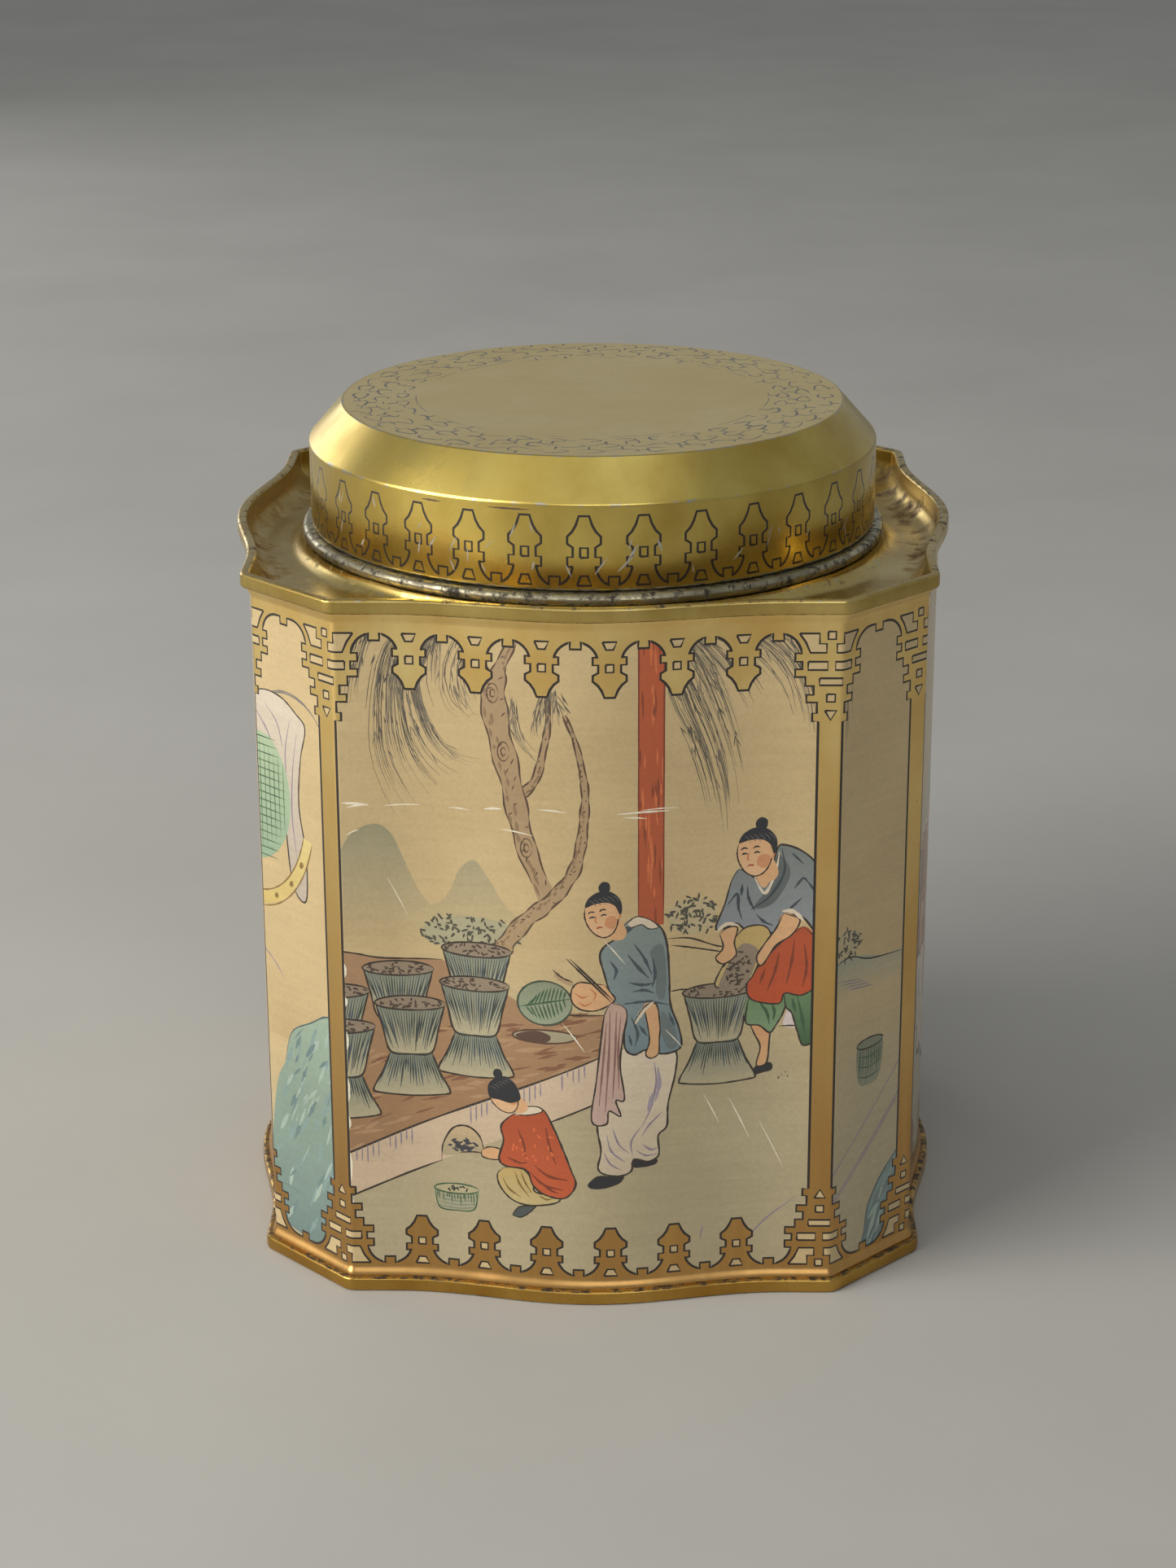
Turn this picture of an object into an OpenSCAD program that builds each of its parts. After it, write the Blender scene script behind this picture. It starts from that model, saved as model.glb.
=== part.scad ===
// Tea caddy of sheet metal: bowed sides, cut-off corners, sunk top, round slip lid.
// Millimetres, +Z up, front towards -Y. The origin is the middle of the footprint,
// on the surface that the caddy stands on.
//
// Each piece is a folded sheet, drawn as a path along one of its faces, with the
// sheet's thickness on the right-hand side of the path. In the body's pieces a path
// runs through [inset, height], where inset is the distance in from the outside of
// the seams. In the round pieces it runs through [radius, height].

/* [Body] */
// Half of the distance between opposite seams, where the sides are straight
seam_half = 55; // [53:0.5:60]
// Distance from the middle of a side to its corner
corner_from_mid = 40; // [39:0.5:42]
// How far each side bows out at its middle
side_bow = 4.6; // [3:0.1:6]
// Half of the width of the bowed stretch of a side
bow_half_width = 31.8; // [28:0.1:32.5]
// Radius of the eight upright corners, outside the seams
corner_round = 3; // [2.4:0.1:4]
// Height of the body to the top of its upper seam
body_height = 118.5; // [90:0.5:150]
// How far the walls stand back from the outside of the seams
wall_inset = 1.6; // [1.4:0.1:2]
// Height over which a wall flares out to meet a seam
flare_height = 1.8; // [1:0.1:3]

/* [Sheet metal] */
// Thickness of every sheet
sheet = 0.3; // [0.26:0.01:0.32]
// Play between layers of sheet that are folded or pressed together
fold_play = 0.03; // [0.02:0.01:0.04]
// Height of the two folded seams
seam_height = 2.4; // [2.3:0.1:3]
// Radius of the rounded edges of a seam
seam_round = 0.5; // [0.4:0.05:0.6]

/* [Top and bottom ends] */
// Depth of the sunk top below the upper seam
top_depth = 5.3; // [5:0.1:6]
// Radius of the bend between the sunk top's wall and its floor
top_bend = 3.5; // [2.5:0.1:3.5]
// Radius at which the sunk top starts to rise towards the neck
rise_radius = 52; // [51.5:0.1:52.5]
// Radius of the hole in the sunk top
hole_radius = 47.8; // [47.7:0.1:48]
// Height of the bottom end's floor above the table
bottom_depth = 3.6; // [3.4:0.1:4.5]
// Radius of the bend between the bottom end's wall and its floor
bottom_bend = 2.4; // [1.5:0.1:2.5]
// Distance from the seam to the raised panel of the bottom end
panel_inset = 9; // [6:0.5:9]
// Height of the raised panel
panel_rise = 0.8; // [0.4:0.1:1.2]

/* [Neck] */
// Outside radius of the neck that the lid slips over
neck_radius = 46.1; // [45.5:0.1:46.1]
// Height of the neck above the middle of its bead
neck_height = 14; // [12:0.5:14.5]
// Radius of the rolled mouth of the neck
mouth_round = 0.8; // [0.7:0.05:1]
// Outside radius of the bead at the foot of the neck
bead_radius = 48.7; // [48.5:0.1:49]
// Half of the height of the bead
bead_round = 1; // [0.9:0.05:1]
// Depth of the middle of the bead below the top of the upper seam
bead_depth = 2.1; // [1.9:0.1:2.4]

/* [Lid] */
// Outside radius of the lid's skirt
lid_radius = 47.2; // [47.2:0.1:47.4]
// Radius of the lid's flat top
lid_top_radius = 41.6; // [38:0.2:44]
// Height of the skirt, from its lower edge to the shoulder
skirt_height = 13.8; // [13:0.1:16]
// Height of the sloping shoulder
shoulder_height = 6.3; // [3:0.1:9]
// Radius of the edge around the flat top
top_edge_round = 0.5; // [0.4:0.1:1]
// Radius of the edge between shoulder and skirt
shoulder_round = 0.9; // [0.5:0.1:1.2]
// Play between the neck and the rolled edge of the lid
lid_play = 0.07; // [0.04:0.01:0.09]
// Gap between the lid's lower edge and the bead
lid_gap = 0.2; // [0.15:0.05:0.4]

/* [Hidden] */
$fn = 128;

// How many straight steps stand for each curve of the body and of its folds
bow_steps = 12;
corner_steps = 2;
cut_steps = 3;
bend_steps = 3;
roll_steps = 8;

// Insets and heights of the layers in a seam. The wrap's fold stays clear of the seam's
// rounded edges, and hook_gap is the gap past the end of a hook.
layer = sheet + fold_play;
body_hook_inset = 2 * layer - fold_play;
end_hook_inset = 3 * layer - fold_play;
body_wall_inset = 3 * layer;
end_wall_inset = 5 * layer - fold_play;
body_fold = seam_round + sheet + fold_play;
hook_gap = 0.1;

// Heights of the neck and the lid
bead_z = body_height - bead_depth;
ledge_z = bead_z - bead_round - fold_play;
neck_top = bead_z + neck_height;
lid_bottom = bead_z + bead_round + lid_gap;
shoulder_z = lid_bottom + skirt_height;
lid_top_z = shoulder_z + shoulder_height;

// ---- Paths ----

function unit(v) = v / norm(v);
function right_of(v) = [v[1], -v[0]];
function reversed(list) = [for (i = [len(list) - 1:-1:0]) list[i]];
function raised(path, height) = [for (p = path) [p[0], height + p[1]]];
function upturned(path) = [for (p = path) [p[0], -p[1]]];

// Points along an arc
function arc(centre, radius, from, to, steps) =
    [for (i = [0:steps])
        let (angle = from + (to - from) * i / steps)
        centre + radius * [cos(angle), sin(angle)]];

// The other face of a sheet whose first face follows the path
function other_face(path) =
    [for (i = [0:len(path) - 1])
        let (
            before = i > 0 ? unit(path[i] - path[i - 1]) : unit(path[1] - path[0]),
            after = i < len(path) - 1 ? unit(path[i + 1] - path[i]) : before,
            middle = unit(right_of(before) + right_of(after))
        )
        path[i] + middle * sheet / (middle * right_of(before))];

// The closed cross-section of a sheet
function section(path) = concat(path, reversed(other_face(path)));

// ---- Plan of the body ----

function bow(s) = abs(s) < bow_half_width ? side_bow * pow(cos(90 * s / bow_half_width), 2) : 0;

function turned(p, angle) =
    [p[0] * cos(angle) - p[1] * sin(angle), p[0] * sin(angle) + p[1] * cos(angle)];

// A quarter of the plan: the bowed front side, a corner, the cut, the next corner
function quarter_plan(inset) =
    let (
        radius = max(corner_round - inset, 0.4),
        half = seam_half - inset,
        straight_end = corner_from_mid - (inset + radius) * tan(22.5),
        first_corner = arc([straight_end, radius - half], radius, -90, -45, corner_steps),
        second_corner = arc([half - radius, -straight_end], radius, -45, 0, corner_steps),
        cut = second_corner[0] - first_corner[corner_steps]
    )
    concat(
        [for (i = [0:bow_steps])
            let (s = bow_half_width * (2 * i / bow_steps - 1))
            [s, -half - bow(s)]],
        first_corner,
        [for (i = [1:cut_steps - 1]) first_corner[corner_steps] + cut * i / cut_steps],
        second_corner
    );

function plan(inset) =
    [for (side = [0:3]) for (p = quarter_plan(inset)) turned(p, 90 * side)];

// Directions of the plan's points from the middle, which the round rings share
plan_angles = [for (p = plan(end_wall_inset)) atan2(p[1], p[0])];

// Rings of points that follow the plan, or a circle, for each point of a path
function plan_rings(path) = [for (at = path) [for (p = plan(at[0])) [p[0], p[1], at[1]]]];
function round_rings(path) =
    [for (at = path) [for (a = plan_angles) [at[0] * cos(a), at[0] * sin(a), at[1]]]];

// The solid whose skin joins each ring to the next. It closes on itself, or its first
// and last rings are filled from their middles.
module ring_solid(rings, closed) {
    count = len(rings[0]);
    last = (len(rings) - 1) * count;
    first_middle = last + count;
    last_middle = last + count + 1;
    skin = [
        for (r = [0:len(rings) - (closed ? 1 : 2)])
            for (i = [0:count - 1])
                let (
                    this_ring = r * count,
                    next_ring = (r + 1) % len(rings) * count,
                    next = (i + 1) % count
                )
                [this_ring + i, next_ring + i, next_ring + next, this_ring + next]
    ];
    ends = [
        for (i = [0:count - 1])
            let (next = (i + 1) % count)
            each [[i, next, first_middle], [last + next, last + i, last_middle]]
    ];
    middles = [[0, 0, rings[0][0][2]], [0, 0, rings[len(rings) - 1][0][2]]];
    points = [for (ring = rings) each ring];
    polyhedron(closed ? points : concat(points, middles), closed ? skin : concat(skin, ends));
}

// Visible face of an end's sheet, with heights counted from the face of its seam:
// from the hook hidden in the seam, round the outside, over the edge, and down the
// inside to the floor at the depth given
function end_path(depth, bend) =
    concat(
        [[end_hook_inset, -body_fold - hook_gap], [end_hook_inset, -seam_height]],
        arc([seam_round, seam_round - seam_height], seam_round, 270, 180, bend_steps - 1),
        arc([seam_round, -seam_round], seam_round, 180, 90, bend_steps),
        arc([end_wall_inset - seam_round, -seam_round], seam_round, 90, 0, bend_steps - 1),
        arc([end_wall_inset + bend, bend - depth], bend, 180, 270, bend_steps)
    );

// ---- Sub-parts ----

// The printed wrap: one sheet bent round into the walls and hooked outwards at both ends
module body_wrap() {
    lower_half = [
        [body_hook_inset, seam_height - seam_round - fold_play],
        [body_hook_inset, body_fold],
        [body_wall_inset, body_fold],
        [body_wall_inset, seam_height + hook_gap],
        [wall_inset, seam_height + flare_height]
    ];
    upper_half = raised(upturned(reversed(lower_half)), body_height);
    color("goldenrod") {
        ring_solid(plan_rings(section(concat(lower_half, upper_half))), true);
        side_lock();
    }
}

// The folded lock that joins the wrap's two ends, pressed flat inside the back wall
module side_lock() {
    width = 4;
    thickness = 2 * sheet;
    from_bow = 1;
    end_gap = seam_height + flare_height + 1;
    bite = fold_play;
    wall_face = seam_half - wall_inset - sheet + bite;
    translate([-bow_half_width - from_bow - width, wall_face - thickness, end_gap])
        cube([width, thickness, body_height - 2 * end_gap]);
}

// The bottom: a pressed sheet with a raised panel, seamed around the foot of the wrap
module bottom_end() {
    panel_slope = 1.2;
    path = concat(
        end_path(bottom_depth, bottom_bend),
        [[panel_inset, -bottom_depth], [panel_inset + panel_slope, -bottom_depth - panel_rise]]
    );
    outer_face = upturned(reversed(path));
    inner_face = upturned(other_face(path));
    color("darkgoldenrod")
        ring_solid(plan_rings(concat(outer_face, inner_face)), false);
}

// The sunk top: a pressed sheet with a round hole, seamed around the head of the wrap
module top_end() {
    floor_z = body_height - top_depth;
    ledge_radius = hole_radius + 0.9;
    walls = raised(end_path(top_depth, top_bend), body_height);
    // This stretch runs inwards, so it is drawn in negative radii
    rise = concat(
        [for (i = [0:bend_steps])
            let (angle = 90 * i / (bend_steps + 0.5))
            [
                (rise_radius - ledge_radius) * sin(angle) - rise_radius,
                floor_z + (ledge_z - floor_z) * (1 - cos(angle))
            ]],
        [[-ledge_radius, ledge_z], [-hole_radius, ledge_z]]
    );
    color("gold")
        ring_solid(
            concat(
                plan_rings(walls),
                round_rings([for (p = rise) [-p[0], p[1]]]),
                round_rings([for (p = reversed(other_face(rise))) [-p[0], p[1]]]),
                plan_rings(reversed(other_face(walls)))
            ),
            true
        );
}

// The neck: a plain ring with a mouth rolled inwards, a bead that stands on the sunk
// top, and a flange turned out below it
module neck_ring() {
    throat_radius = hole_radius - 0.1;
    flange_radius = hole_radius + 0.4;
    flange_z = ledge_z - sheet - fold_play;
    path = concat(
        arc([neck_radius - mouth_round, neck_top - mouth_round], mouth_round, 290, 0, roll_steps),
        [[neck_radius, bead_z + bead_round]],
        arc([bead_radius - bead_round, bead_z], bead_round, 90, -90, roll_steps),
        [[throat_radius, flange_z], [flange_radius, flange_z]]
    );
    color("silver")
        rotate_extrude()
            polygon(section(path));
}

// The lid: one drawn sheet with its lower edge rolled inwards
module lid() {
    slope = atan2(shoulder_height, lid_radius - lid_top_radius);
    top_tangent = top_edge_round * tan(slope / 2);
    shoulder_tangent = shoulder_round * tan((90 - slope) / 2);
    roll = (lid_radius - neck_radius - lid_play) / 2;
    path = concat(
        [[0, lid_top_z]],
        arc(
            [lid_top_radius - top_tangent, lid_top_z - top_edge_round],
            top_edge_round, 90, 90 - slope, bend_steps
        ),
        arc(
            [lid_radius - shoulder_round, shoulder_z - shoulder_tangent],
            shoulder_round, 90 - slope, 0, bend_steps
        ),
        arc([lid_radius - roll, lid_bottom + roll], roll, 0, -250, roll_steps)
    );
    color("gold")
        rotate_extrude()
            polygon(section(path));
}

body_wrap();
bottom_end();
top_end();
neck_ring();
lid();
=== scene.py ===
"""Looks of the tea caddy: its five tinplate sheets, with the print drawn by code.

Everything below is in millimetres until a mesh is made. Sizes are the driving dimensions of the CAD
part under the same names, and what the frame's boxes give. Prints are drawn flat, as painted shapes
on a sheet (p along the wall, v up from the table), cut into triangles along every painted edge, and
laid on the metal.
"""

import math

import bpy
import numpy as np
from mathutils import Matrix, Vector
from mathutils.geometry import delaunay_2d_cdt


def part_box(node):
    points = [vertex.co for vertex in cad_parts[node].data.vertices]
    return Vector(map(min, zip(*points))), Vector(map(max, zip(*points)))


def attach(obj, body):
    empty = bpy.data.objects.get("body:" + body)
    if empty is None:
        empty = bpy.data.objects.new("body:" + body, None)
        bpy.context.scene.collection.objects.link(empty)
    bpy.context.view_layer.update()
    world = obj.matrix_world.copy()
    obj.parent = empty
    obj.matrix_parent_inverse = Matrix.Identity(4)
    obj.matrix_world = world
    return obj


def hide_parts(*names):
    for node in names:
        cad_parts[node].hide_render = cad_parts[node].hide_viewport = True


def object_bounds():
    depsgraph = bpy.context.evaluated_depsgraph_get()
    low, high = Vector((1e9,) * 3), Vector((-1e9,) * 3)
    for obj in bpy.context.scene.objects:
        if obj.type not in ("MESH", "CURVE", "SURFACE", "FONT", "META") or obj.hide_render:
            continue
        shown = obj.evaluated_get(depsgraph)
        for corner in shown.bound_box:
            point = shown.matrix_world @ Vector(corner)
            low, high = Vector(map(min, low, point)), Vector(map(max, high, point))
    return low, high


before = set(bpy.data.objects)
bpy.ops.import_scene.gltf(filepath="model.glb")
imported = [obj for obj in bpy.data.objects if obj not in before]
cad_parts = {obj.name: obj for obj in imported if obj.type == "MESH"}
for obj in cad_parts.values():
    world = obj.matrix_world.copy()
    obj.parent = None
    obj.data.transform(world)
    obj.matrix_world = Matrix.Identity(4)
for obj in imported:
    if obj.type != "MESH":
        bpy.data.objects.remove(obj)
cad_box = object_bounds()

# ---------------------------------------------------------------- sizes
MM = 0.001
SHEET = 0.3
PLAY = 0.03                  # between layers of sheet in a seam
LAYER = SHEET + PLAY
HOOK_GAP = 0.1               # past the end of a sheet folded into a seam
SIDE_BOW = 4.6
BOW_HALF_WIDTH = 31.8
CORNER_FROM_MID = 40.0
CORNER_ROUND = 3.0
SEAM_HALF = cad_box[1].x / MM - SIDE_BOW
WALL_INSET = 1.6
WALL_TUCKED_INSET = 3 * LAYER
END_WALL_INSET = 5 * LAYER - PLAY
SEAM_HEIGHT = 2.4
SEAM_ROUND = 0.5
FLARE_HEIGHT = 1.8
BODY_HEIGHT = 118.5
LID_TOP_Z = cad_box[1].z / MM
LID_BOTTOM_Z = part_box("lid")[0].z / MM
NECK_TOP_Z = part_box("neck_ring")[1].z / MM
NECK_RADIUS = 46.1
NECK_FOOT_RADIUS = 48.2
MOUTH_ROUND = 0.8
BEAD_RADIUS = 48.7
BEAD_ROUND = 1.0
BEAD_Z = BODY_HEIGHT - 2.1
LEDGE_Z = BEAD_Z - BEAD_ROUND - PLAY
LID_RADIUS = 47.2
LID_TOP_RADIUS = 41.6
LID_SHOULDER_Z = 131.4
RISE_RADIUS = 52.0
TOP_DEPTH = 5.3
TOP_BEND = 3.5
BOTTOM_DEPTH = 3.6
BOTTOM_BEND = 2.4
PANEL_INSET = 9.0
PANEL_SLOPE = 1.2
PANEL_RISE = 0.8
HOLE_RADIUS = 47.8

PRINT_SHIFT = -1.85          # the print sits this far to the left of the wall's own middle
TURN_STATIONS = 256          # columns round the lid and the neck
BOW_STATIONS = 51            # columns across a bowed side
WELD = 2e-4                  # points nearer than this become one
CREASE = math.radians(32)    # edges that turn more than this stay sharp
CUT_MARGIN = 1.0             # how far the wrap goes into the seams past the printed height


# ---------------------------------------------------------------- plan of the wall
def quarter_plan(inset):
    """Points and outward normals of one side and the cut after it, at a depth inside the seam."""
    least_round = 0.4
    radius = max(CORNER_ROUND - inset, least_round)
    half = SEAM_HALF - inset
    end = CORNER_FROM_MID - (inset + radius) * math.tan(math.pi / 8)
    flat = np.linspace(BOW_HALF_WIDTH, end, 4)[1:]
    along = np.concatenate([-flat[::-1], np.linspace(-BOW_HALF_WIDTH, BOW_HALF_WIDTH, BOW_STATIONS), flat])
    bowed = np.abs(along) < BOW_HALF_WIDTH
    phase = math.pi * along / (2 * BOW_HALF_WIDTH)
    out = np.where(bowed, SIDE_BOW * np.cos(phase) ** 2, 0)
    slope = np.where(bowed, SIDE_BOW * math.pi / (2 * BOW_HALF_WIDTH) * np.sin(2 * phase), 0)
    points = [np.stack([along, -half - out], 1)]
    normals = [np.stack([slope, -np.ones_like(slope)], 1)]
    turn = math.pi / 4
    steps = np.arange(1, 9) / 8
    rounds = (((end, radius - half), -2 * turn, steps), ((half - radius, -end), -turn, steps - 1 / 8))
    for centre, start, fraction in rounds:
        angle = start + turn * fraction
        ray = np.stack([np.cos(angle), np.sin(angle)], 1)
        points.append(np.array(centre) + radius * ray)
        normals.append(ray)
    points = np.concatenate(points)
    normals = np.concatenate(normals)
    return points, normals / np.linalg.norm(normals, axis=1, keepdims=True)


def plan(inset):
    """The whole outline at a depth inside the seam, counter-clockwise from the front's left end."""
    points, normals = quarter_plan(inset)
    turns = [np.array([[c, s], [-s, c]]) for c, s in ((1, 0), (0, 1), (-1, 0), (0, -1))]
    return np.concatenate([points @ t for t in turns]), np.concatenate([normals @ t for t in turns])


wall_points, wall_normals = plan(WALL_INSET)
closed_wall = np.concatenate([wall_points, wall_points[:1]])
wall_arc = np.concatenate([[0], np.cumsum(np.linalg.norm(np.diff(closed_wall, axis=0), axis=1))])
front_middle = int(np.argmin(np.hypot(wall_points[:, 0], wall_points[:, 1] + SEAM_HALF + SIDE_BOW)))
wall_arc -= wall_arc[front_middle]
PERIMETER = wall_arc[-1] - wall_arc[0]
closed_normals = np.concatenate([wall_normals, wall_normals[:1]])
SIDE_PITCH = PERIMETER / 4
FACE_HALF = wall_arc[front_middle * 2 + 4]      # to the middle of the corner's round
CUT_HALF = SIDE_PITCH / 2 - FACE_HALF


def wall_inset(height):
    """How far the outer skin of the wall is inside the seam, with its flares at both ends."""
    from_end = np.minimum(height, BODY_HEIGHT - height)
    rise = np.clip((from_end - SEAM_HEIGHT) / FLARE_HEIGHT, 0, 1)
    return WALL_TUCKED_INSET + (WALL_INSET - WALL_TUCKED_INSET) * (0.5 - 0.5 * np.cos(math.pi * rise))


def on_wall(p, v, depth=0.0):
    """Points and normals of the wall at print coordinates p, v, a depth inside its outer skin."""
    around = (p + PRINT_SHIFT - wall_arc[0]) % PERIMETER + wall_arc[0]
    spot = np.stack([np.interp(around, wall_arc, closed_wall[:, k]) for k in (0, 1)], 1)
    normal = np.stack([np.interp(around, wall_arc, closed_normals[:, k]) for k in (0, 1)], 1)
    normal /= np.linalg.norm(normal, axis=1, keepdims=True)
    out = WALL_INSET - wall_inset(v) - depth
    step = 0.01
    lean = (wall_inset(v + step) - wall_inset(v - step)) / (2 * step)
    points = np.column_stack([spot + out[:, None] * normal, v])
    normals = np.column_stack([normal, lean])
    return points, normals / np.linalg.norm(normals, axis=1, keepdims=True)


# ---------------------------------------------------------------- meshes
class Build:
    """Collects points, faces and per-corner colours and normals, and makes one piece of them."""

    def __init__(self):
        self.points, self.loops, self.sizes = [], [], []
        self.normals, self.colours, self.slots = [], [], []
        self.count = 0

    def add(self, points, faces, normals=None, colours=None, slots=0):
        """Adds points and faces, with a normal and a colour per corner and a material slot per face."""
        faces = [np.asarray(face) for face in faces]
        sizes = np.array([len(face) for face in faces])
        corners = int(sizes.sum())
        self.points.append(np.asarray(points, float))
        self.loops.append(np.concatenate(faces) + self.count)
        self.sizes.append(sizes)
        blank = np.zeros((corners, 3))
        self.normals.append(blank if normals is None else normals)
        self.colours.append(blank if colours is None else np.broadcast_to(colours, blank.shape))
        self.slots.append(np.broadcast_to(slots, (len(faces),)))
        self.count += len(points)

    def grid(self, rows, wear, closed_path=False, flip=False):
        """Quads between rings of the same number of points. wear gives each ring's colour."""
        rows, wear = np.asarray(rows, float), np.asarray(wear, float)
        count, width = rows.shape[:2]
        above = [(k, (k + 1) % count) for k in range(count if closed_path else count - 1)]
        across = [(i, (i + 1) % width) for i in range(width)]
        order = (0, 1, 2, 3) if flip else (0, 3, 2, 1)
        faces, colours = [], []
        for a, b in above:
            shade = (wear[a], wear[a], wear[b], wear[b])
            for i, j in across:
                corner = (a * width + i, a * width + j, b * width + j, b * width + i)
                faces.append([corner[k] for k in order])
                colours.extend(shade[k] for k in order)
        self.add(rows.reshape(-1, 3), faces, colours=np.array(colours))

    def make(self, name, materials, body, node):
        """Welds, makes the object, and hands it to the frame."""
        points, loops = np.concatenate(self.points), np.concatenate(self.loops)
        for offset in (0.137, 0.637):
            # the second grid joins the points that a line of the first one parted
            keys = np.floor(points / WELD + offset).astype(np.int64)
            _, first, index = np.unique(keys, axis=0, return_index=True, return_inverse=True)
            points, loops = points[first], index.reshape(-1)[loops]
        sizes = np.concatenate(self.sizes)
        starts = np.cumsum(sizes) - sizes
        second, third = loops[starts + 1], loops[starts + 2]
        kept = (loops[starts] != second) & (second != third) & (third != loops[starts]) | (sizes > 3)
        # two triangles on the same three points, left by a thin sliver, cancel each other
        flat = np.sort(np.stack([loops[starts], second, third], 1), axis=1)
        _, same, many = np.unique(flat, axis=0, return_inverse=True, return_counts=True)
        kept &= (many[same.reshape(-1)] != 2) | (sizes > 3)
        kept_corner = np.repeat(kept, sizes)
        loops, sizes = loops[kept_corner], sizes[kept]
        starts = np.cumsum(sizes) - sizes
        used, loops = np.unique(loops, return_inverse=True)
        mesh = bpy.data.meshes.new(name)
        mesh.vertices.add(len(used))
        mesh.vertices.foreach_set("co", (points[used] * MM).ravel())
        mesh.loops.add(len(loops))
        mesh.loops.foreach_set("vertex_index", loops.astype(np.int32))
        mesh.polygons.add(len(sizes))
        mesh.polygons.foreach_set("loop_start", starts.astype(np.int32))
        mesh.polygons.foreach_set("material_index", np.concatenate(self.slots)[kept].astype(np.int32))
        mesh.polygons.foreach_set("use_smooth", np.ones(len(sizes), bool))
        mesh.update(calc_edges=True)
        ink = mesh.color_attributes.new("ink", "FLOAT_COLOR", "CORNER")
        colours = np.concatenate(self.colours)[kept_corner]
        ink.data.foreach_set("color", np.column_stack([colours, np.ones(len(colours))]).ravel())
        for material in materials:
            mesh.materials.append(material)
        mesh.set_sharp_from_angle(angle=CREASE)
        normals = np.concatenate(self.normals)[kept_corner]
        if np.any(normals):
            mesh.normals_split_custom_set(normals.tolist())
        piece = bpy.data.objects.new(name, mesh)
        bpy.context.scene.collection.objects.link(piece)
        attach(piece, body)
        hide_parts(node)
        return piece


def arc(centre, radius, start, stop, steps):
    """Points on an arc, angles in degrees."""
    angle = np.radians(np.linspace(start, stop, steps + 1))
    return np.stack([centre[0] + radius * np.cos(angle), centre[1] + radius * np.sin(angle)], 1)


def joined(*parts):
    """Stretches of a path one after another, without repeated points."""
    path = np.concatenate([np.atleast_2d(np.asarray(part, float)) for part in parts])
    fresh = np.concatenate([[True], np.linalg.norm(np.diff(path, axis=0), axis=1) > 1e-6])
    return path[fresh]


def other_face(path, thickness=SHEET):
    """The path a sheet's thickness to the right of another."""
    step = np.diff(path, axis=0)
    step /= np.linalg.norm(step, axis=1, keepdims=True)
    before = np.concatenate([step[:1], step])
    after = np.concatenate([step, step[-1:]])
    right_before = np.stack([before[:, 1], -before[:, 0]], 1)
    right_after = np.stack([after[:, 1], -after[:, 0]], 1)
    middle = right_before + right_after
    return path + thickness * 2 * middle / (middle ** 2).sum(1, keepdims=True)


def around(radius, height):
    """A level ring of points."""
    angle = np.arange(TURN_STATIONS) * 2 * math.pi / TURN_STATIONS
    return np.stack([radius * np.cos(angle), radius * np.sin(angle), np.full(TURN_STATIONS, height)], 1)


# ---------------------------------------------------------------- prints
def rgb(code):
    """A linear colour from its usual six-letter code."""
    value = np.array([int(code[k:k + 2], 16) for k in (0, 2, 4)]) / 255
    return np.where(value < 0.04045, value / 12.92, ((value + 0.055) / 1.055) ** 2.4)


def curve(points, closed=False, steps=5):
    """A smooth line through points (Catmull-Rom)."""
    knots = np.asarray(points, float)
    if closed:
        padded = np.concatenate([knots[-1:], knots, knots[:2]])
    else:
        padded = np.concatenate([2 * knots[:1] - knots[1:2], knots, 2 * knots[-1:] - knots[-2:-1]])
    t = (np.arange(steps) / steps)[:, None]
    runs = []
    for a, b, c, d in zip(padded, padded[1:], padded[2:], padded[3:]):
        square, cube = (2 * a - 5 * b + 4 * c - d) * t ** 2, (3 * b - a - 3 * c + d) * t ** 3
        runs.append(0.5 * (2 * b + (c - a) * t + square + cube))
    return np.concatenate(runs + ([] if closed else [knots[-1:]]))


def brushed(line, width, taper=0.25, rng=None):
    """The outline of a brush stroke along a line, thin at its ends."""
    line = np.asarray(line, float)
    run = np.gradient(line, axis=0)
    run /= np.maximum(np.linalg.norm(run, axis=1, keepdims=True), 1e-9)
    side = np.stack([-run[:, 1], run[:, 0]], 1)
    t = np.concatenate([[0], np.cumsum(np.linalg.norm(np.diff(line, axis=0), axis=1))])
    t /= t[-1]
    half = width / 2 * np.ones_like(t)
    if taper:
        half *= 0.25 + 0.75 * np.clip(np.minimum(t, 1 - t) / taper, 0, 1)
    if rng is not None:
        half *= rng.uniform(0.72, 1.2, len(t))
    half = half[:, None]
    return np.concatenate([line + side * half, (line - side * half)[::-1]])


def is_inside(loops, spots):
    """Which spots the loops wind round."""
    order = np.argsort(spots[:, 1])
    x, y = spots[order].T
    turns = np.zeros(len(spots))
    for loop in loops:
        ends = np.roll(loop, -1, axis=0)
        first, last = np.searchsorted(y, (np.minimum(loop, ends)[:, 1], np.maximum(loop, ends)[:, 1]))
        count = last - first
        edge = np.repeat(np.arange(len(loop)), count)
        spot = np.arange(count.sum()) - np.repeat(np.cumsum(count) - count - first, count)
        (ax, ay), (bx, by) = loop[edge].T, ends[edge].T
        left = (bx - ax) * (y[spot] - ay) > (x[spot] - ax) * (by - ay)
        up = by > ay
        turns += np.bincount(spot, np.where(left == up, np.where(up, 1, -1), 0), len(spots))
    inside = np.zeros(len(spots), bool)
    inside[order] = np.abs(turns) > 0.5
    return inside


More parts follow.
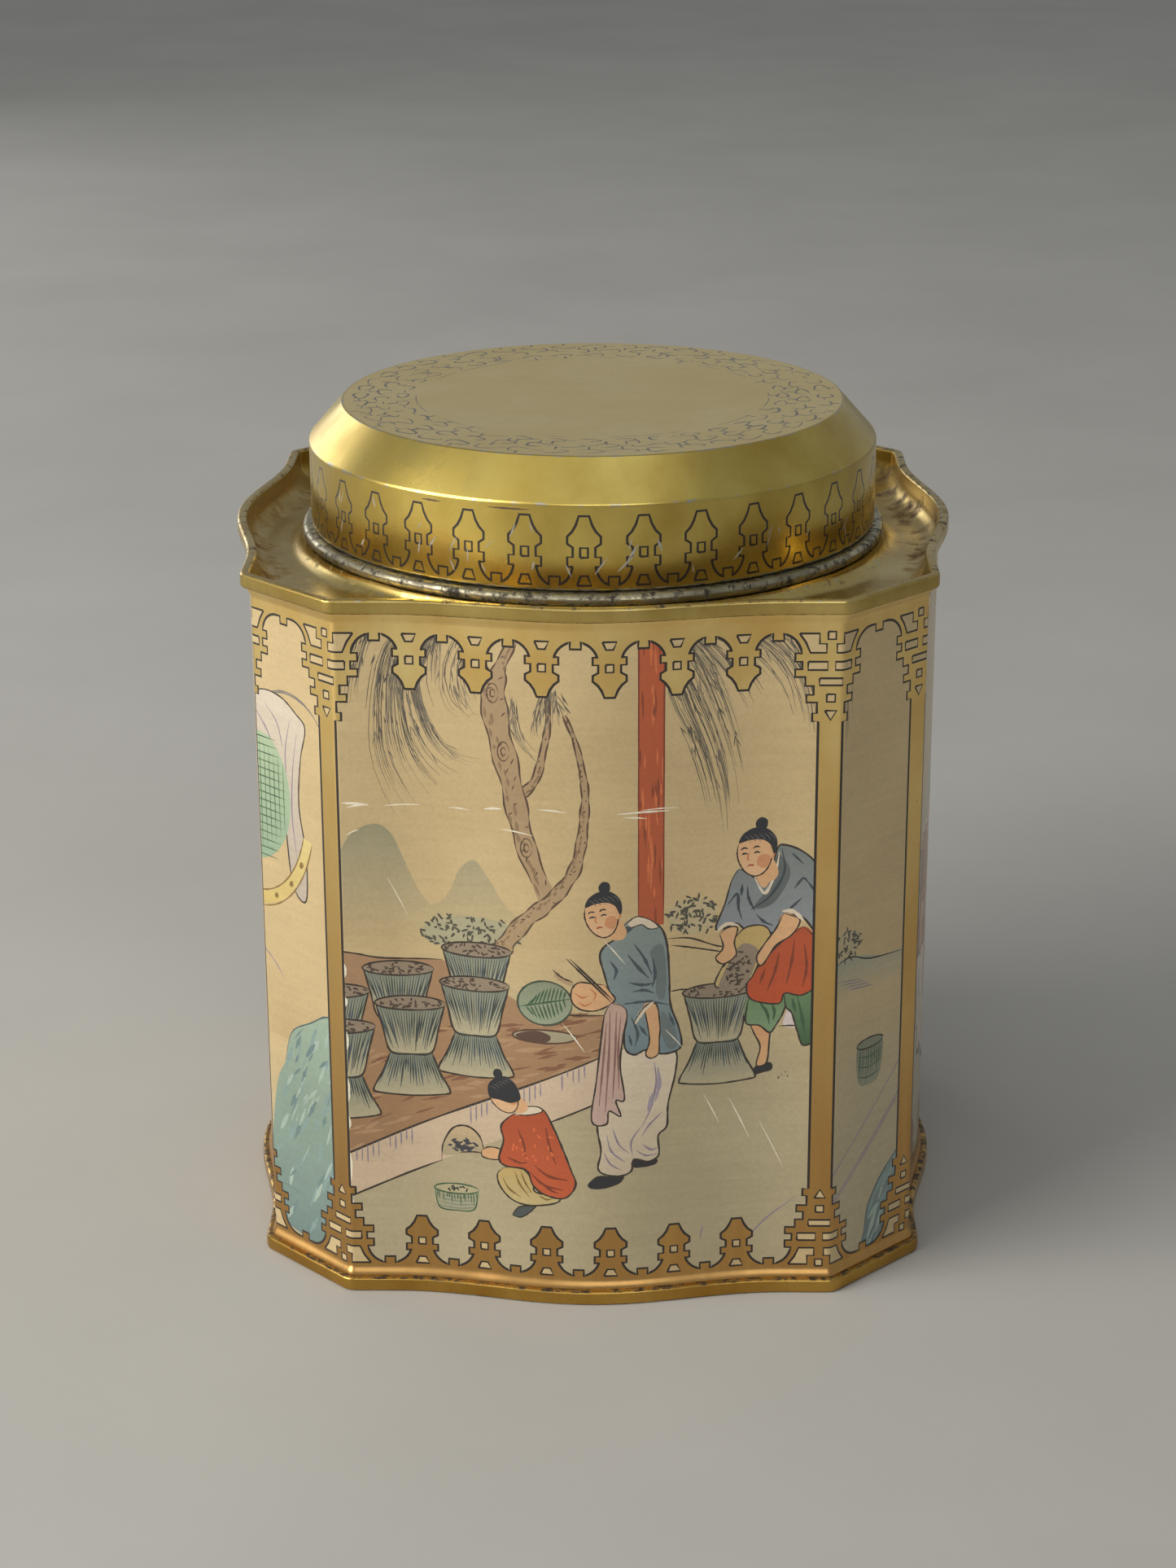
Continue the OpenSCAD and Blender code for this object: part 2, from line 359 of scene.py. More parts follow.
class Print:
    """A printed sheet: shapes painted one over another, in millimetres."""

    def __init__(self, ground, seed, middle=0.0):
        self.layers = []
        self.ground = ground
        self.middle = np.array([middle, 0.0])
        self.rng = np.random.default_rng(seed)
        self.place()

    def place(self, p=0.0, v=0.0, size=1.0, mirror=False, pivot=(0.0, 0.0)):
        """Puts the next shapes' pivot at p, v, with their size and which way round they are."""
        self.size = np.array([-size if mirror else size, size])
        self.origin = self.middle + (p, v) - self.size * pivot
        self.pivot, self.pivot_place = pivot, np.array([p, v])

    def spot(self, point):
        """Where a point of the shapes being drawn is on the sheet."""
        return self.pivot_place + (np.array(point) - self.pivot) * self.size

    def fill(self, loops, colour, slot=0):
        """Closed outlines, filled with a colour or with a function of p and v that gives one."""
        loops = [np.asarray(loop, float) * self.size + self.origin for loop in loops]
        if slot == 0:
            limits = SEAM_HEIGHT, BODY_HEIGHT - SEAM_HEIGHT
            loops = [np.column_stack([loop[:, 0], np.clip(loop[:, 1], *limits)]) for loop in loops]
        every = np.concatenate(loops)
        self.layers.append((loops, every.min(0), every.max(0), colour, slot))

    def wash(self, points, colour, smooth=True):
        """A filled shape; colour may be a pair, for the top and the foot of the shape."""
        outline = curve(points, closed=True) if smooth else np.asarray(points, float)
        if isinstance(colour, tuple):
            high = outline[:, 1].max() * self.size[1] + self.origin[1]
            low = outline[:, 1].min() * self.size[1] + self.origin[1]
            self.fill([outline], fade(colour[0], colour[1], high, low))
        else:
            self.fill([outline], colour)

    def line(self, points, width=0.3, colour=None, taper=0.25, smooth=True):
        """A brush stroke through points."""
        run = curve(points) if smooth and len(points) > 2 else np.asarray(points, float)
        if len(run) == 2:
            run = run[0] + (run[1] - run[0]) * np.linspace(0, 1, 5)[:, None]
        self.fill([brushed(run, width, taper, self.rng)], INK if colour is None else colour)

    def ring(self, outline, width, colour=None, taper=0.05):
        """A brush stroke round a closed outline."""
        self.line(np.concatenate([outline, outline[:1]]), width, colour, taper, smooth=False)

    def shape(self, points, colour, width=0.3, line=None):
        """A washed shape with its brush outline."""
        self.wash(points, colour)
        knots = list(points) + [points[0]]
        self.line(knots, width, line, taper=0.1)

    def cut(self, low, high, columns, levels, outline=None):
        """Triangles of the sheet's rectangle, or of an outline in it: points, corners and layer shown."""
        points, edges = [], []

        def draw(loop, closed=True):
            start, count = len(points), len(loop)
            strokes = count if closed else count - 1
            points.extend((float(spot[0]), float(spot[1])) for spot in loop)
            edges.extend((start + k, start + (k + 1) % count) for k in range(strokes))

        rectangle = [(low[0], low[1]), (high[0], low[1]), (high[0], high[1]), (low[0], high[1])]
        draw(rectangle if outline is None else outline)
        for column in columns:
            draw([(column, low[1]), (column, high[1])], closed=False)
        for level in levels:
            draw([(low[0], level), (high[0], level)], closed=False)
        near = [k for k, layer in enumerate(self.layers)
                if np.all(layer[1] < high) and np.all(layer[2] > low)]
        for k in near:
            for loop in self.layers[k][0]:
                draw(loop)
        corners = delaunay_2d_cdt([Vector(point) for point in points], edges, [], 0, 1e-6)
        spots = np.array([points[given[0]] if given else tuple(spot)
                          for spot, given in zip(corners[0], corners[3])])
        triangles = np.array(corners[2])
        middles = spots[triangles].mean(1)
        within = is_inside([np.array(rectangle) if outline is None else outline], middles)
        triangles, middles = triangles[within], middles[within]
        order = np.argsort(middles[:, 0])
        triangles, middles = triangles[order], middles[order]
        shown = np.full(len(triangles), -1)
        for k in near:
            loops, least, most = self.layers[k][:3]
            first, last = np.searchsorted(middles[:, 0], (least[0], most[0]))
            level = middles[first:last, 1]
            close = first + np.flatnonzero((level > least[1]) & (level < most[1]))
            if len(close):
                shown[close[is_inside(loops, middles[close])]] = k
        return spots, triangles, shown

    def colours(self, spots, triangles, shown):
        """The colour of every corner, and the material slot of every triangle."""
        colours = np.zeros((len(triangles), 3, 3))
        slots = np.zeros(len(triangles), int)
        order = np.argsort(shown, kind="stable")
        for group in np.split(order, np.flatnonzero(np.diff(shown[order])) + 1):
            paint, slot = (self.ground, 0) if shown[group[0]] < 0 else self.layers[shown[group[0]]][3:5]
            slots[group] = slot
            if callable(paint):
                paint = paint(spots[triangles[group]].reshape(-1, 2)).reshape(-1, 3, 3)
            colours[group] = paint
        return colours.reshape(-1, 3), slots


def fade(top, foot, high, low):
    """A colour that goes from one at a height to another at a lower height."""
    top, foot = np.asarray(top), np.asarray(foot)

    def paint(spots):
        share = np.clip((spots[:, 1:2] - low) / max(high - low, 1e-6), 0, 1)
        return foot + (top - foot) * share

    return paint


# ---------------------------------------------------------------- the printed frame
CREAM = rgb("c9b080")
CREAM_LOW = rgb("b3986b")
INK = rgb("33291f")
OUTLINE = rgb("21170e")

FRAME_LINE = 0.42
PAGODA_PITCH = 10.45
PAGODAS_ON_A_SIDE = 6
PILLAR_HALF = 1.9
ARCH_TOP = 112.8             # height where the upper border's arches end
BASE_LINE = 4.5              # height where the lower border's arches end
BORDER_STRETCH = 1.03
ARCH_RADIUS = 3.45
LEDGE = 2.4                  # depth at which an arch meets the first ledge
CRENEL_HALF = 0.85
CRENEL_DEPTH = 1.15


def arch(left, right):
    """An arch between two motifs, with its crenel: points of x and depth, from left to right."""
    radius = min(ARCH_RADIUS, (right - left) / 2)
    start = math.degrees(math.asin((radius - LEDGE) / radius))
    rise = arc((left + radius, radius), radius, 180 + start, 270, 7)
    fall = arc((right - radius, radius), radius, 270, 360 - start, 7)
    middle = (left + right) / 2
    crenel = [(middle - CRENEL_HALF, 0), (middle - CRENEL_HALF, CRENEL_DEPTH),
              (middle + CRENEL_HALF, CRENEL_DEPTH), (middle + CRENEL_HALF, 0)]
    rise = rise[rise[:, 0] < middle - CRENEL_HALF - 0.05]
    fall = fall[fall[:, 0] > middle + CRENEL_HALF + 0.05]
    return np.concatenate([rise, crenel, fall])


PAGODA_SIDE = [(1.75, 2.4), (2.6, 2.4), (2.6, 3.6), (1.75, 3.6), (1.75, 4.8), (2.6, 5.25), (2.6, 6.15),
               (1.85, 6.75), (1.25, 7.6), (0.8, 8.7)]
CORNER_SIDE = [(4.6, 3.1), (5.6, 3.1), (5.6, 4.4), (4.5, 4.4), (4.5, 5.6), (5.6, 5.6), (5.6, 6.8),
               (4.0, 6.8), (4.0, 8.2), (2.7, 8.2), (2.7, 9.6), (3.8, 9.6), (3.8, 10.8), (2.15, 10.8),
               (2.15, 12.5), (2.85, 12.5), (2.85, 13.8), (PILLAR_HALF, 13.8)]


def opening(low_half, high_half, low, high):
    """A four-sided opening on a motif's middle line."""
    return [(-low_half, low), (low_half, low), (high_half, high), (-high_half, high)]


def in_pair(half):
    """An opening left of a motif's middle line, and the same one to the right of it."""
    return [half, [(-x, depth) for x, depth in half]]


CORNER_WINDOWS = [
    opening(0.6, 0.6, -0.3, 0.9),
    *in_pair([(-5.0, 0), (-1.9, 0), (-1.9, 1.6), (-0.8, 1.6), (-0.8, 3.0), (-3.3, 3.0), (-4.0, 1.4)]),
    *in_pair([(-3.6, 4.4), (-0.6, 4.4), (-0.6, 5.7), (-3.6, 5.7)]),
    opening(1.8, 1.8, 7.0, 8.1),
    opening(0.65, 0.65, 9.5, 10.7),
    [(-0.9, 12.1), (0.9, 12.1), (0, 13.6)],
]
PAGODA_WINDOWS = [opening(0.6, 0.6, 3.55, 4.75), opening(1.1, 0.55, 0.05, 1.25)]


def border(half, pagodas):
    """The inner edge of a panel's gold border between its two pillars: x and depth."""
    centres = (np.arange(pagodas) - (pagodas - 1) / 2) * PAGODA_PITCH
    corner_reach = CORNER_SIDE[0][0]
    sides = [-half + corner_reach]
    chain = [(x - half, depth) for x, depth in reversed(CORNER_SIDE)]
    for centre in centres:
        chain.extend(arch(sides[-1], centre - PAGODA_SIDE[0][0]))
        chain.extend((centre - x, depth) for x, depth in PAGODA_SIDE)
        chain.extend((centre + x, depth) for x, depth in reversed(PAGODA_SIDE))
        sides.append(centre + PAGODA_SIDE[0][0])
    chain.extend(arch(sides[-1], half - corner_reach))
    chain.extend((half - x, depth) for x, depth in CORNER_SIDE)
    return np.array(chain), centres


def at_border(points, upper, middle=0.0):
    """Border points of x and depth as print coordinates."""
    points = np.asarray(points, float)
    v = ARCH_TOP - points[:, 1] * BORDER_STRETCH if upper else BASE_LINE + points[:, 1]
    return np.stack([middle + points[:, 0], v], 1)


def print_frame(sheet, half, pagodas):
    """Gold outside the picture's window, black lines along its edge, and the motifs' own openings."""
    chain, centres = border(half, pagodas)
    sheet.place()
    window = np.concatenate([at_border(chain, False), at_border(chain, True)[::-1]])
    low, high, reach = -BODY_HEIGHT, 2 * BODY_HEIGHT, half + 9
    outside = [(-reach, low), (reach, low), (reach, high), (-reach, high)]
    sheet.fill([outside, window[::-1]], np.zeros(3), slot=1)
    sheet.fill([brushed(np.concatenate([window, window[:1]]), FRAME_LINE, taper=0)], OUTLINE)
    for upper in (True, False):
        windows = [(side * half, outline) for side in (-1, 1) for outline in CORNER_WINDOWS]
        windows += [(centre, outline) for centre in centres for outline in PAGODA_WINDOWS]
        for centre, outline in windows:
            edge = at_border(outline, upper, centre)
            sheet.fill([edge], CREAM)
            sheet.fill([brushed(np.concatenate([edge, edge[:1]]), FRAME_LINE * 0.85, taper=0)], OUTLINE)


# ---------------------------------------------------------------- things in the pictures
BARK, BARK_SHADE, BARK_DARK = rgb("ae926c"), rgb("8f7454"), rgb("5a4331")
POST, POST_DARK = rgb("bb5a30"), rgb("8e4222")
HILL = rgb("9c9576")
BLUE, BLUE_DARK = rgb("86908a"), rgb("434f54")
SLATE, SLATE_DARK = rgb("767c76"), rgb("3b4247")
RED, RED_DARK = rgb("ad4d26"), rgb("80371b")
BENCH, BENCH_DARK = rgb("a07a54"), rgb("84583c")
PLASTER, LILAC = rgb("ccb394"), rgb("8d7f8c")
WHITE = rgb("dccbb0")
SASH, SASH_DARK = rgb("bf9f8c"), rgb("8a6459")
YELLOW, YELLOW_DARK = rgb("bfa263"), rgb("84682f")
GREEN, GREEN_DARK = rgb("6d8a5f"), rgb("3c5a3c")
STRAW, STRAW_LOW = rgb("7c8473"), rgb("b8ac8a")
REED = rgb("3a423d")
SKIN, BLUSH = rgb("d8a878"), rgb("bd6f42")
HAIR = rgb("26262a")
GROUND = rgb("b3a582")
LEAVES = rgb("92806a")
FAN = rgb("858b6f")


def ellipse(p, v, wide, high, start=0, stop=360, steps=28):
    """Points round an ellipse, angles in degrees."""
    circle = arc((0, 0), 1, start, stop, steps)
    return np.array([p, v]) + circle[:None if stop - start < 360 else -1] * (wide, high)


def specks(sheet, count, inside, size, colour, spread=(1, 1)):
    """Short dabs at random places inside an ellipse (p, v, wide, high)."""
    rng = sheet.rng
    for _ in range(count):
        angle, reach = rng.uniform(0, 2 * math.pi), math.sqrt(rng.random())
        spot = np.array([inside[0] + inside[2] * reach * math.cos(angle),
                         inside[1] + inside[3] * reach * math.sin(angle)])
        run = rng.normal(0, 1, 2) * spread
        run *= size * rng.uniform(0.6, 1.3) / max(np.linalg.norm(run), 1e-6)
        sheet.line([spot - run / 2, spot + run / 2], size * 0.42, colour, taper=0.3)


def hatching(sheet, first, last, count, run, width, colour, jitter=0.3):
    """Strokes side by side from one starting point to another, all along the same run."""
    rng = sheet.rng
    for share in np.linspace(0, 1, count):
        start = np.array(first) + (np.array(last) - first) * share + rng.normal(0, jitter, 2) * 0.3
        length = rng.uniform(0.45, 1)
        sheet.line([start, start + np.array(run) * length], width * rng.uniform(0.7, 1.2), colour,
                   taper=0.4)


def basket(sheet, p, v, size=1.0, foot=True):
    """A straw basket like an hourglass, full of leaves; its base is at p, v."""
    rng = sheet.rng
    sheet.place(p, v, size)
    top, waist, rim_half, waist_half, foot_half = 15.5, 7.0, 5.6, 3.35, 6.2
    if foot:
        edge = [(-waist_half, waist), (-4.6, 3.6), (-foot_half, 0.5), (-5.4, -0.25), (0, -0.75),
                (5.4, -0.25), (foot_half, 0.5), (4.6, 3.6), (waist_half, waist)]
        sheet.wash(edge, (STRAW, STRAW_LOW), smooth=False)
        sheet.line(edge, 0.32, taper=0.05)
        for share in np.linspace(-0.94, 0.94, 22):
            reach = rng.uniform(0.45, 0.9)
            start = np.array([share * waist_half * 1.02, waist - 0.25])
            end = start + (np.array([share * foot_half, 0]) - start) * reach
            sheet.line([start, end], rng.uniform(0.18, 0.34), REED if rng.random() < 0.6 else BLUE_DARK,
                       taper=0.5)
    bowl = [(-rim_half, top), (-4.5, 11.2), (-waist_half, waist), (0, waist - 0.45), (waist_half, waist),
            (4.5, 11.2), (rim_half, top)]
    sheet.wash(bowl, (STRAW, STRAW_LOW), smooth=False)
    sheet.line(bowl, 0.32, taper=0.05)
    for share in np.linspace(-0.95, 0.95, 24):
        start = np.array([share * rim_half, top - 1.1 + 0.35 * share * share])
        end = np.array([share * waist_half, waist + rng.uniform(0, 2.5)])
        sheet.line([start, end], rng.uniform(0.18, 0.34), REED if rng.random() < 0.55 else BLUE_DARK,
                   taper=0.5)
    rim = ellipse(0, top, rim_half + 0.15, 1.25)
    sheet.fill([rim], LEAVES)
    specks(sheet, 34, (0, top, rim_half - 0.4, 0.95), 0.75, rgb("4b3c30"), (1, 0.4))
    sheet.ring(rim, 0.3)


def open_basket(sheet, p, v, size=1.0):
    """A small low wicker basket on the ground."""
    sheet.place(p, v, size)
    sheet.wash([(-3.7, 2.3), (-2.9, -1.5), (0, -1.9), (2.9, -1.5), (3.7, 2), (0, 1.2)], rgb("a3a080"))
    for level in np.linspace(-1.2, 1.4, 5):
        sheet.line([(-3.1, level), (0, level - 0.35), (3.1, level)], 0.2, STRAW)
    hatching(sheet, (-3.2, 1.7), (3.3, 1.7), 15, (0.15, -3), 0.22, GREEN_DARK)
    rim = ellipse(0, 2.0, 3.7, 0.9)
    sheet.fill([rim], rgb("b3aa83"))
    specks(sheet, 12, (0, 2.0, 1.8, 0.5), 0.7, HAIR, (1, 0.5))
    sheet.ring(rim, 0.26, GREEN_DARK)
    sheet.line([(-3.6, 1.9), (-2.9, -1.5), (0, -1.95), (2.9, -1.5), (3.6, 1.9)], 0.26, GREEN_DARK)


def head(sheet, p, v, size=1.0, mirror=False, tilt=0.0, turned_away=False):
    """A head with its hair in a knot: a calm, plain face on even proportions, or the back of a head."""
    sheet.place(p, v, size, mirror)
    cosine, sine = math.cos(tilt), math.sin(tilt)

    def lean(points):
        return np.asarray(points, float) @ np.array([[cosine, sine], [-sine, cosine]])

    face = [(-2.6, 1.9), (-2.95, 0.4), (-2.75, -1.3), (-1.9, -3), (-0.5, -3.9), (1, -3.5), (2.2, -2),
            (2.8, 0.2), (2.5, 2.2), (0.6, 3.3), (-1.4, 3.1)]
    sheet.wash(lean([(0.2, -2.2), (2.4, -1), (3.4, -3.6), (2.4, -5), (0.4, -4.4)]), SKIN)
    sheet.wash(lean(face), (SKIN, rgb("dfb488")))
    sheet.wash(lean([(0.5, -0.6), (1.9, -0.4), (2.3, -1.6), (1.2, -2.7), (0.1, -1.9)]), rgb("cd8f62"))
    sheet.line(lean(face + face[:1]), 0.26, taper=0.05)
    if not turned_away:
        for side in (-1.75, 0.25):
            sheet.line(lean([(side - 0.6, 0.85), (side, 1.15), (side + 0.65, 0.95)]), 0.3)
            sheet.line(lean([(side - 0.5, 0.05), (side, 0.2), (side + 0.55, 0.0)]), 0.34, HAIR)
        sheet.line(lean([(-1, 0.3), (-1.35, -0.8), (-0.95, -1)]), 0.22, BLUSH)
        sheet.line(lean([(-1.5, -2), (-0.95, -1.9), (-0.35, -2.05)]), 0.32, rgb("a24a30"))
    sheet.wash(lean([(2.3, 0.6), (3.1, 0.5), (3, -0.9), (2.4, -1.1)]), SKIN)
    sheet.line(lean([(2.35, 0.7), (3.1, 0.5), (2.95, -0.8), (2.4, -1.1)]), 0.24, BLUSH)
    crown = [(-2.5, 2.1), (-1.6, 3.6), (0.4, 4.4), (2.4, 3.9), (3.6, 2.2), (3.5, 0.2), (2.9, -0.4),
             (2.5, 1.2), (1.2, 2.2), (-0.8, 2.35)]
    if turned_away:
        crown = [(-2.9, 1.2), (-1.8, 3.6), (0.4, 4.3), (2.6, 3.7), (3.5, 1.8), (3.4, -0.6), (2.6, -2.2),
                 (0.4, -1.9), (-1.4, -0.2)]
    sheet.wash(lean(crown), HAIR)
    sheet.wash(lean([(0.7, 4), (0.5, 5.2), (1.4, 6), (2.4, 5.5), (2.3, 4.3), (1.6, 3.8)]), HAIR)
    for start in np.linspace(-1.6, 2.4, 6):
        sheet.line(lean([(start, 3.3), (start + 0.7, 2.6), (start + 1.0, 1.9)]), 0.16, rgb("5d5a58"))


def folds(sheet, strokes, colour, width=0.5):
    """Creases in cloth, each a short stroke."""
    for stroke in strokes:
        sheet.line(stroke, width, colour, taper=0.45)


def standing_worker(sheet, p, v, size=1.0, mirror=False, coat=BLUE, coat_dark=BLUE_DARK):
    """A worker in a short jacket, a sash and wide trousers, stooping a little to the left."""
    sheet.place(p, v, size, mirror, pivot=(8, 44))
    sheet.shape([(1.6, 21.3), (3.2, 22.6), (5.6, 22.5), (7.3, 22.6), (6.7, 21.4), (4.2, 20.5), (2, 20.5)],
                HAIR, 0.2)
    sheet.shape([(8.8, 25.1), (10.8, 25.4), (12.7, 25.2), (12.3, 24.3), (9.2, 24)], HAIR, 0.2)
    legs = [(7, 45), (11.5, 45.5), (15.6, 44.3), (15.8, 40.5), (14.6, 35), (14.4, 31), (13, 29.4),
            (13.1, 26), (11.4, 24.9), (9, 25.4), (8.6, 23.4), (6.8, 22.6), (4.2, 23), (3.2, 24.2),
            (3.7, 27.2), (3.1, 31.8), (4, 37.8), (5.6, 43)]
    sheet.shape(legs, (WHITE, rgb("cbb99d")), 0.34)
    folds(sheet, [[(12.3, 42.5), (12.6, 39), (11.8, 34.5), (10.2, 31)], [(10, 31), (8.6, 28.6), (8.8, 26)],
                  [(13.6, 33.5), (11.6, 31.5), (10.3, 29.5)], [(4.6, 30), (5.4, 27), (7.6, 25)],
                  [(5.6, 31), (6.6, 28.2), (8.2, 26.6)], [(4.2, 26.8), (5.2, 24.8), (7, 23.6)],
                  [(10.4, 28), (11.8, 27), (12.9, 27.2)], [(9.4, 27), (11, 26), (12.8, 26.2)]], LILAC, 0.34)
    folds(sheet, [[(12.9, 41.5), (13.1, 38.5), (12.5, 35.5)], [(12.1, 37), (11.3, 33.8)]], rgb("a397a0"),
          0.8)
    jacket = [(8.8, 67.4), (10.9, 66.9), (13.2, 65.6), (14.3, 62.5), (14.7, 57), (14.9, 52.2), (16.3, 48),
              (16.6, 44.6), (13.8, 43.7), (11, 44.6), (9, 43.9), (7.5, 45.4), (7.4, 50.6), (6, 52.6),
              (5.2, 54.6), (4.3, 58), (3.6, 61), (4.3, 62.7), (6, 64), (7.4, 66.2)]
    sheet.shape(jacket, (coat, rgb("74868a") if coat is BLUE else coat), 0.36)
    sheet.wash([(11.6, 61.5), (13.6, 62.5), (14.2, 57.5), (13.9, 53.4), (12.6, 54), (12.5, 58)],
               (coat + coat_dark) / 2)
    sheet.wash([(13.6, 51), (15.6, 48.2), (16, 45), (14.6, 44.6), (13.4, 47.5)], (coat + coat_dark) / 2)
    folds(sheet, [[(9, 63), (10.6, 60.5), (11.9, 57.5)], [(8, 61.2), (9.8, 58.8), (11.4, 57)],
                  [(12, 60.4), (12.4, 57.5), (11.9, 55.4)], [(8.2, 56.4), (10.4, 55.9), (12.3, 56.1)],
                  [(8.8, 54.8), (10.6, 55), (12.2, 54.4)], [(5.2, 60.2), (6.2, 58.6), (5.8, 57)],
                  [(7.4, 52.8), (10.4, 53), (12.2, 52.8), (14.6, 52.2)],
                  [(8.6, 50.4), (9.6, 47.6), (9.2, 45.4)], [(14.6, 50.8), (15.6, 48.4)],
                  [(9.8, 49), (11.2, 47)], [(8.2, 47.4), (8.7, 45.4)]], coat_dark, 0.55)
    sheet.shape([(10.5, 52.4), (12.6, 52.4), (13.2, 48.6), (13.1, 46.2), (13, 43.9), (11.8, 43.1),
                 (10.9, 43.9), (11.5, 46), (11.2, 49)], SKIN, 0.26)
    sheet.line([(9.2, 49.3), (10.4, 51.4), (12.2, 52.9)], 0.7, WHITE)
    sheet.line([(8.9, 49.2), (10.2, 51.5), (12.1, 53.2)], 0.22)
    sheet.line([(5.9, 64), (7.6, 65.2), (9.6, 67.1)], 0.9, coat_dark)
    sheet.shape([(7.9, 66.4), (9.4, 67.6), (11.6, 66.9), (12.9, 65.6), (11.4, 65.4), (10.2, 66.2),
                 (8.6, 65.8)], WHITE, 0.2)
    sheet.shape([(4.3, 56.2), (2.4, 56.4), (0.4, 56.6), (-0.8, 55.5), (-0.9, 53.4), (0.4, 52), (2.6, 51.7),
                 (4.6, 52.4), (6, 53.6), (5.2, 55)], SKIN, 0.28)
    folds(sheet, [[(-0.4, 54.8), (0.8, 54), (1.9, 54.4)], [(0.2, 53.2), (1.2, 52.6), (2.4, 53.2)],
                  [(2, 55.6), (2.9, 54.6), (2.6, 53.4)]], BLUSH, 0.3)
    sheet.line([(-3.7, 58.4), (-2.4, 57), (-0.6, 56.2)], 1.0, BARK)
    sheet.line([(-3.9, 58.7), (-2.5, 57.4), (-0.6, 56.6)], 0.26)
    for drift in (0, 0.55):
        sheet.line([(-1.7 + drift, 60.6), (1.6 + drift, 57.2), (5.4 + drift, 53.2)], 0.34)
    sash = [(5.4, 53), (7.2, 52.4), (7.9, 50.8), (7.2, 46.6), (6.8, 42), (7.5, 36.2), (6.1, 36),
            (6.9, 33.2), (5, 34.2), (4.6, 31.9), (2.2, 32.5), (3, 39.6), (3.9, 48), (4.4, 51.3)]
    sheet.shape(sash, (SASH, rgb("c7a89a")), 0.3)
    folds(sheet, [[(5.2, 51.8), (5, 44), (4.4, 34)], [(6.2, 51.6), (6, 44), (5.6, 36.4)],
                  [(6.9, 50.6), (6.5, 45), (6.6, 38)], [(4.6, 49.6), (4.1, 43), (3.4, 35)]], SASH_DARK,
          0.42)
    head(sheet, *sheet.spot((4, 67.9)), size * 0.93, mirror, tilt=0.22)


def crouching_helper(sheet, p, v, size=1.0, mirror=False, coat=RED, coat_dark=RED_DARK):
    """A small helper squatting with an arm out to the left, seen from behind."""
    sheet.place(p, v, size, mirror, pivot=(-8, 24))
    sheet.shape([(-10.9, 14.9), (-9.8, 16.4), (-8, 16.8), (-6.8, 17.1), (-8, 15.6), (-9.5, 14.6)],
                rgb("4b5250"), 0.24)
    knees = [(-12.2, 23.3), (-9.4, 23.6), (-7.4, 21.4), (-7, 19.4), (-3.4, 18.8), (-3.2, 17.9),
             (-5.3, 17.2), (-8.5, 16.9), (-11.1, 17.8), (-12.9, 19.9), (-13.3, 22)]
    sheet.shape(knees, (YELLOW, rgb("c3b07a")), 0.3)
    folds(sheet, [[(-10.4, 22.8), (-9.6, 20.6), (-8, 18.4)], [(-9.4, 22.8), (-8.6, 20.8), (-7.6, 19.2)],
                  [(-12.4, 21.4), (-11.4, 19.6), (-9.4, 18.2)], [(-6.4, 18.8), (-5.2, 18.2), (-4.2, 18.4)]],
          YELLOW_DARK, 0.4)
    sheet.shape([(-15.9, 26), (-14.6, 26.7), (-12.6, 26.4), (-12.4, 24.9), (-14.2, 24.5), (-15.8, 24.9)],
                SKIN, 0.26)
    jacket = [(-8.9, 34), (-5.8, 34.3), (-4, 31.2), (-2.4, 27.2), (-1.2, 23.8), (-0.4, 21), (-2.2, 18.6),
              (-5.4, 19), (-7.4, 20.6), (-8.5, 23.2), (-11.9, 23.6), (-13, 24.9), (-12.2, 28.1),
              (-12.6, 30.6), (-11.2, 32.4)]
    sheet.shape(jacket, (coat, rgb("c45a30") if coat is RED else coat), 0.34)
    folds(sheet, [[(-11.6, 25.2), (-9.6, 24.4), (-8.2, 24.6)], [(-8, 23), (-5.6, 20.8), (-2.4, 20)],
                  [(-7.2, 24.2), (-4.8, 22.4), (-1.6, 21.8)], [(-9.8, 30.4), (-8.8, 27.6), (-8.6, 25.4)],
                  [(-5.2, 31), (-4.6, 27.6), (-3.6, 24.6)], [(-6.6, 21.6), (-4.6, 20), (-3.2, 19.4)]],
          coat_dark, 0.5)
    specks(sheet, 16, (-7.5, 27.5, 3.8, 4.6), 0.8, rgb("d96a3a"), (0.4, 1))
    sheet.shape([(-10.4, 33), (-8.6, 34.4), (-6.4, 34.6), (-5.8, 33.8), (-8.2, 33)], WHITE, 0.22)
    head(sheet, *sheet.spot((-12, 36)), size * 0.78, mirror, tilt=0.55, turned_away=True)


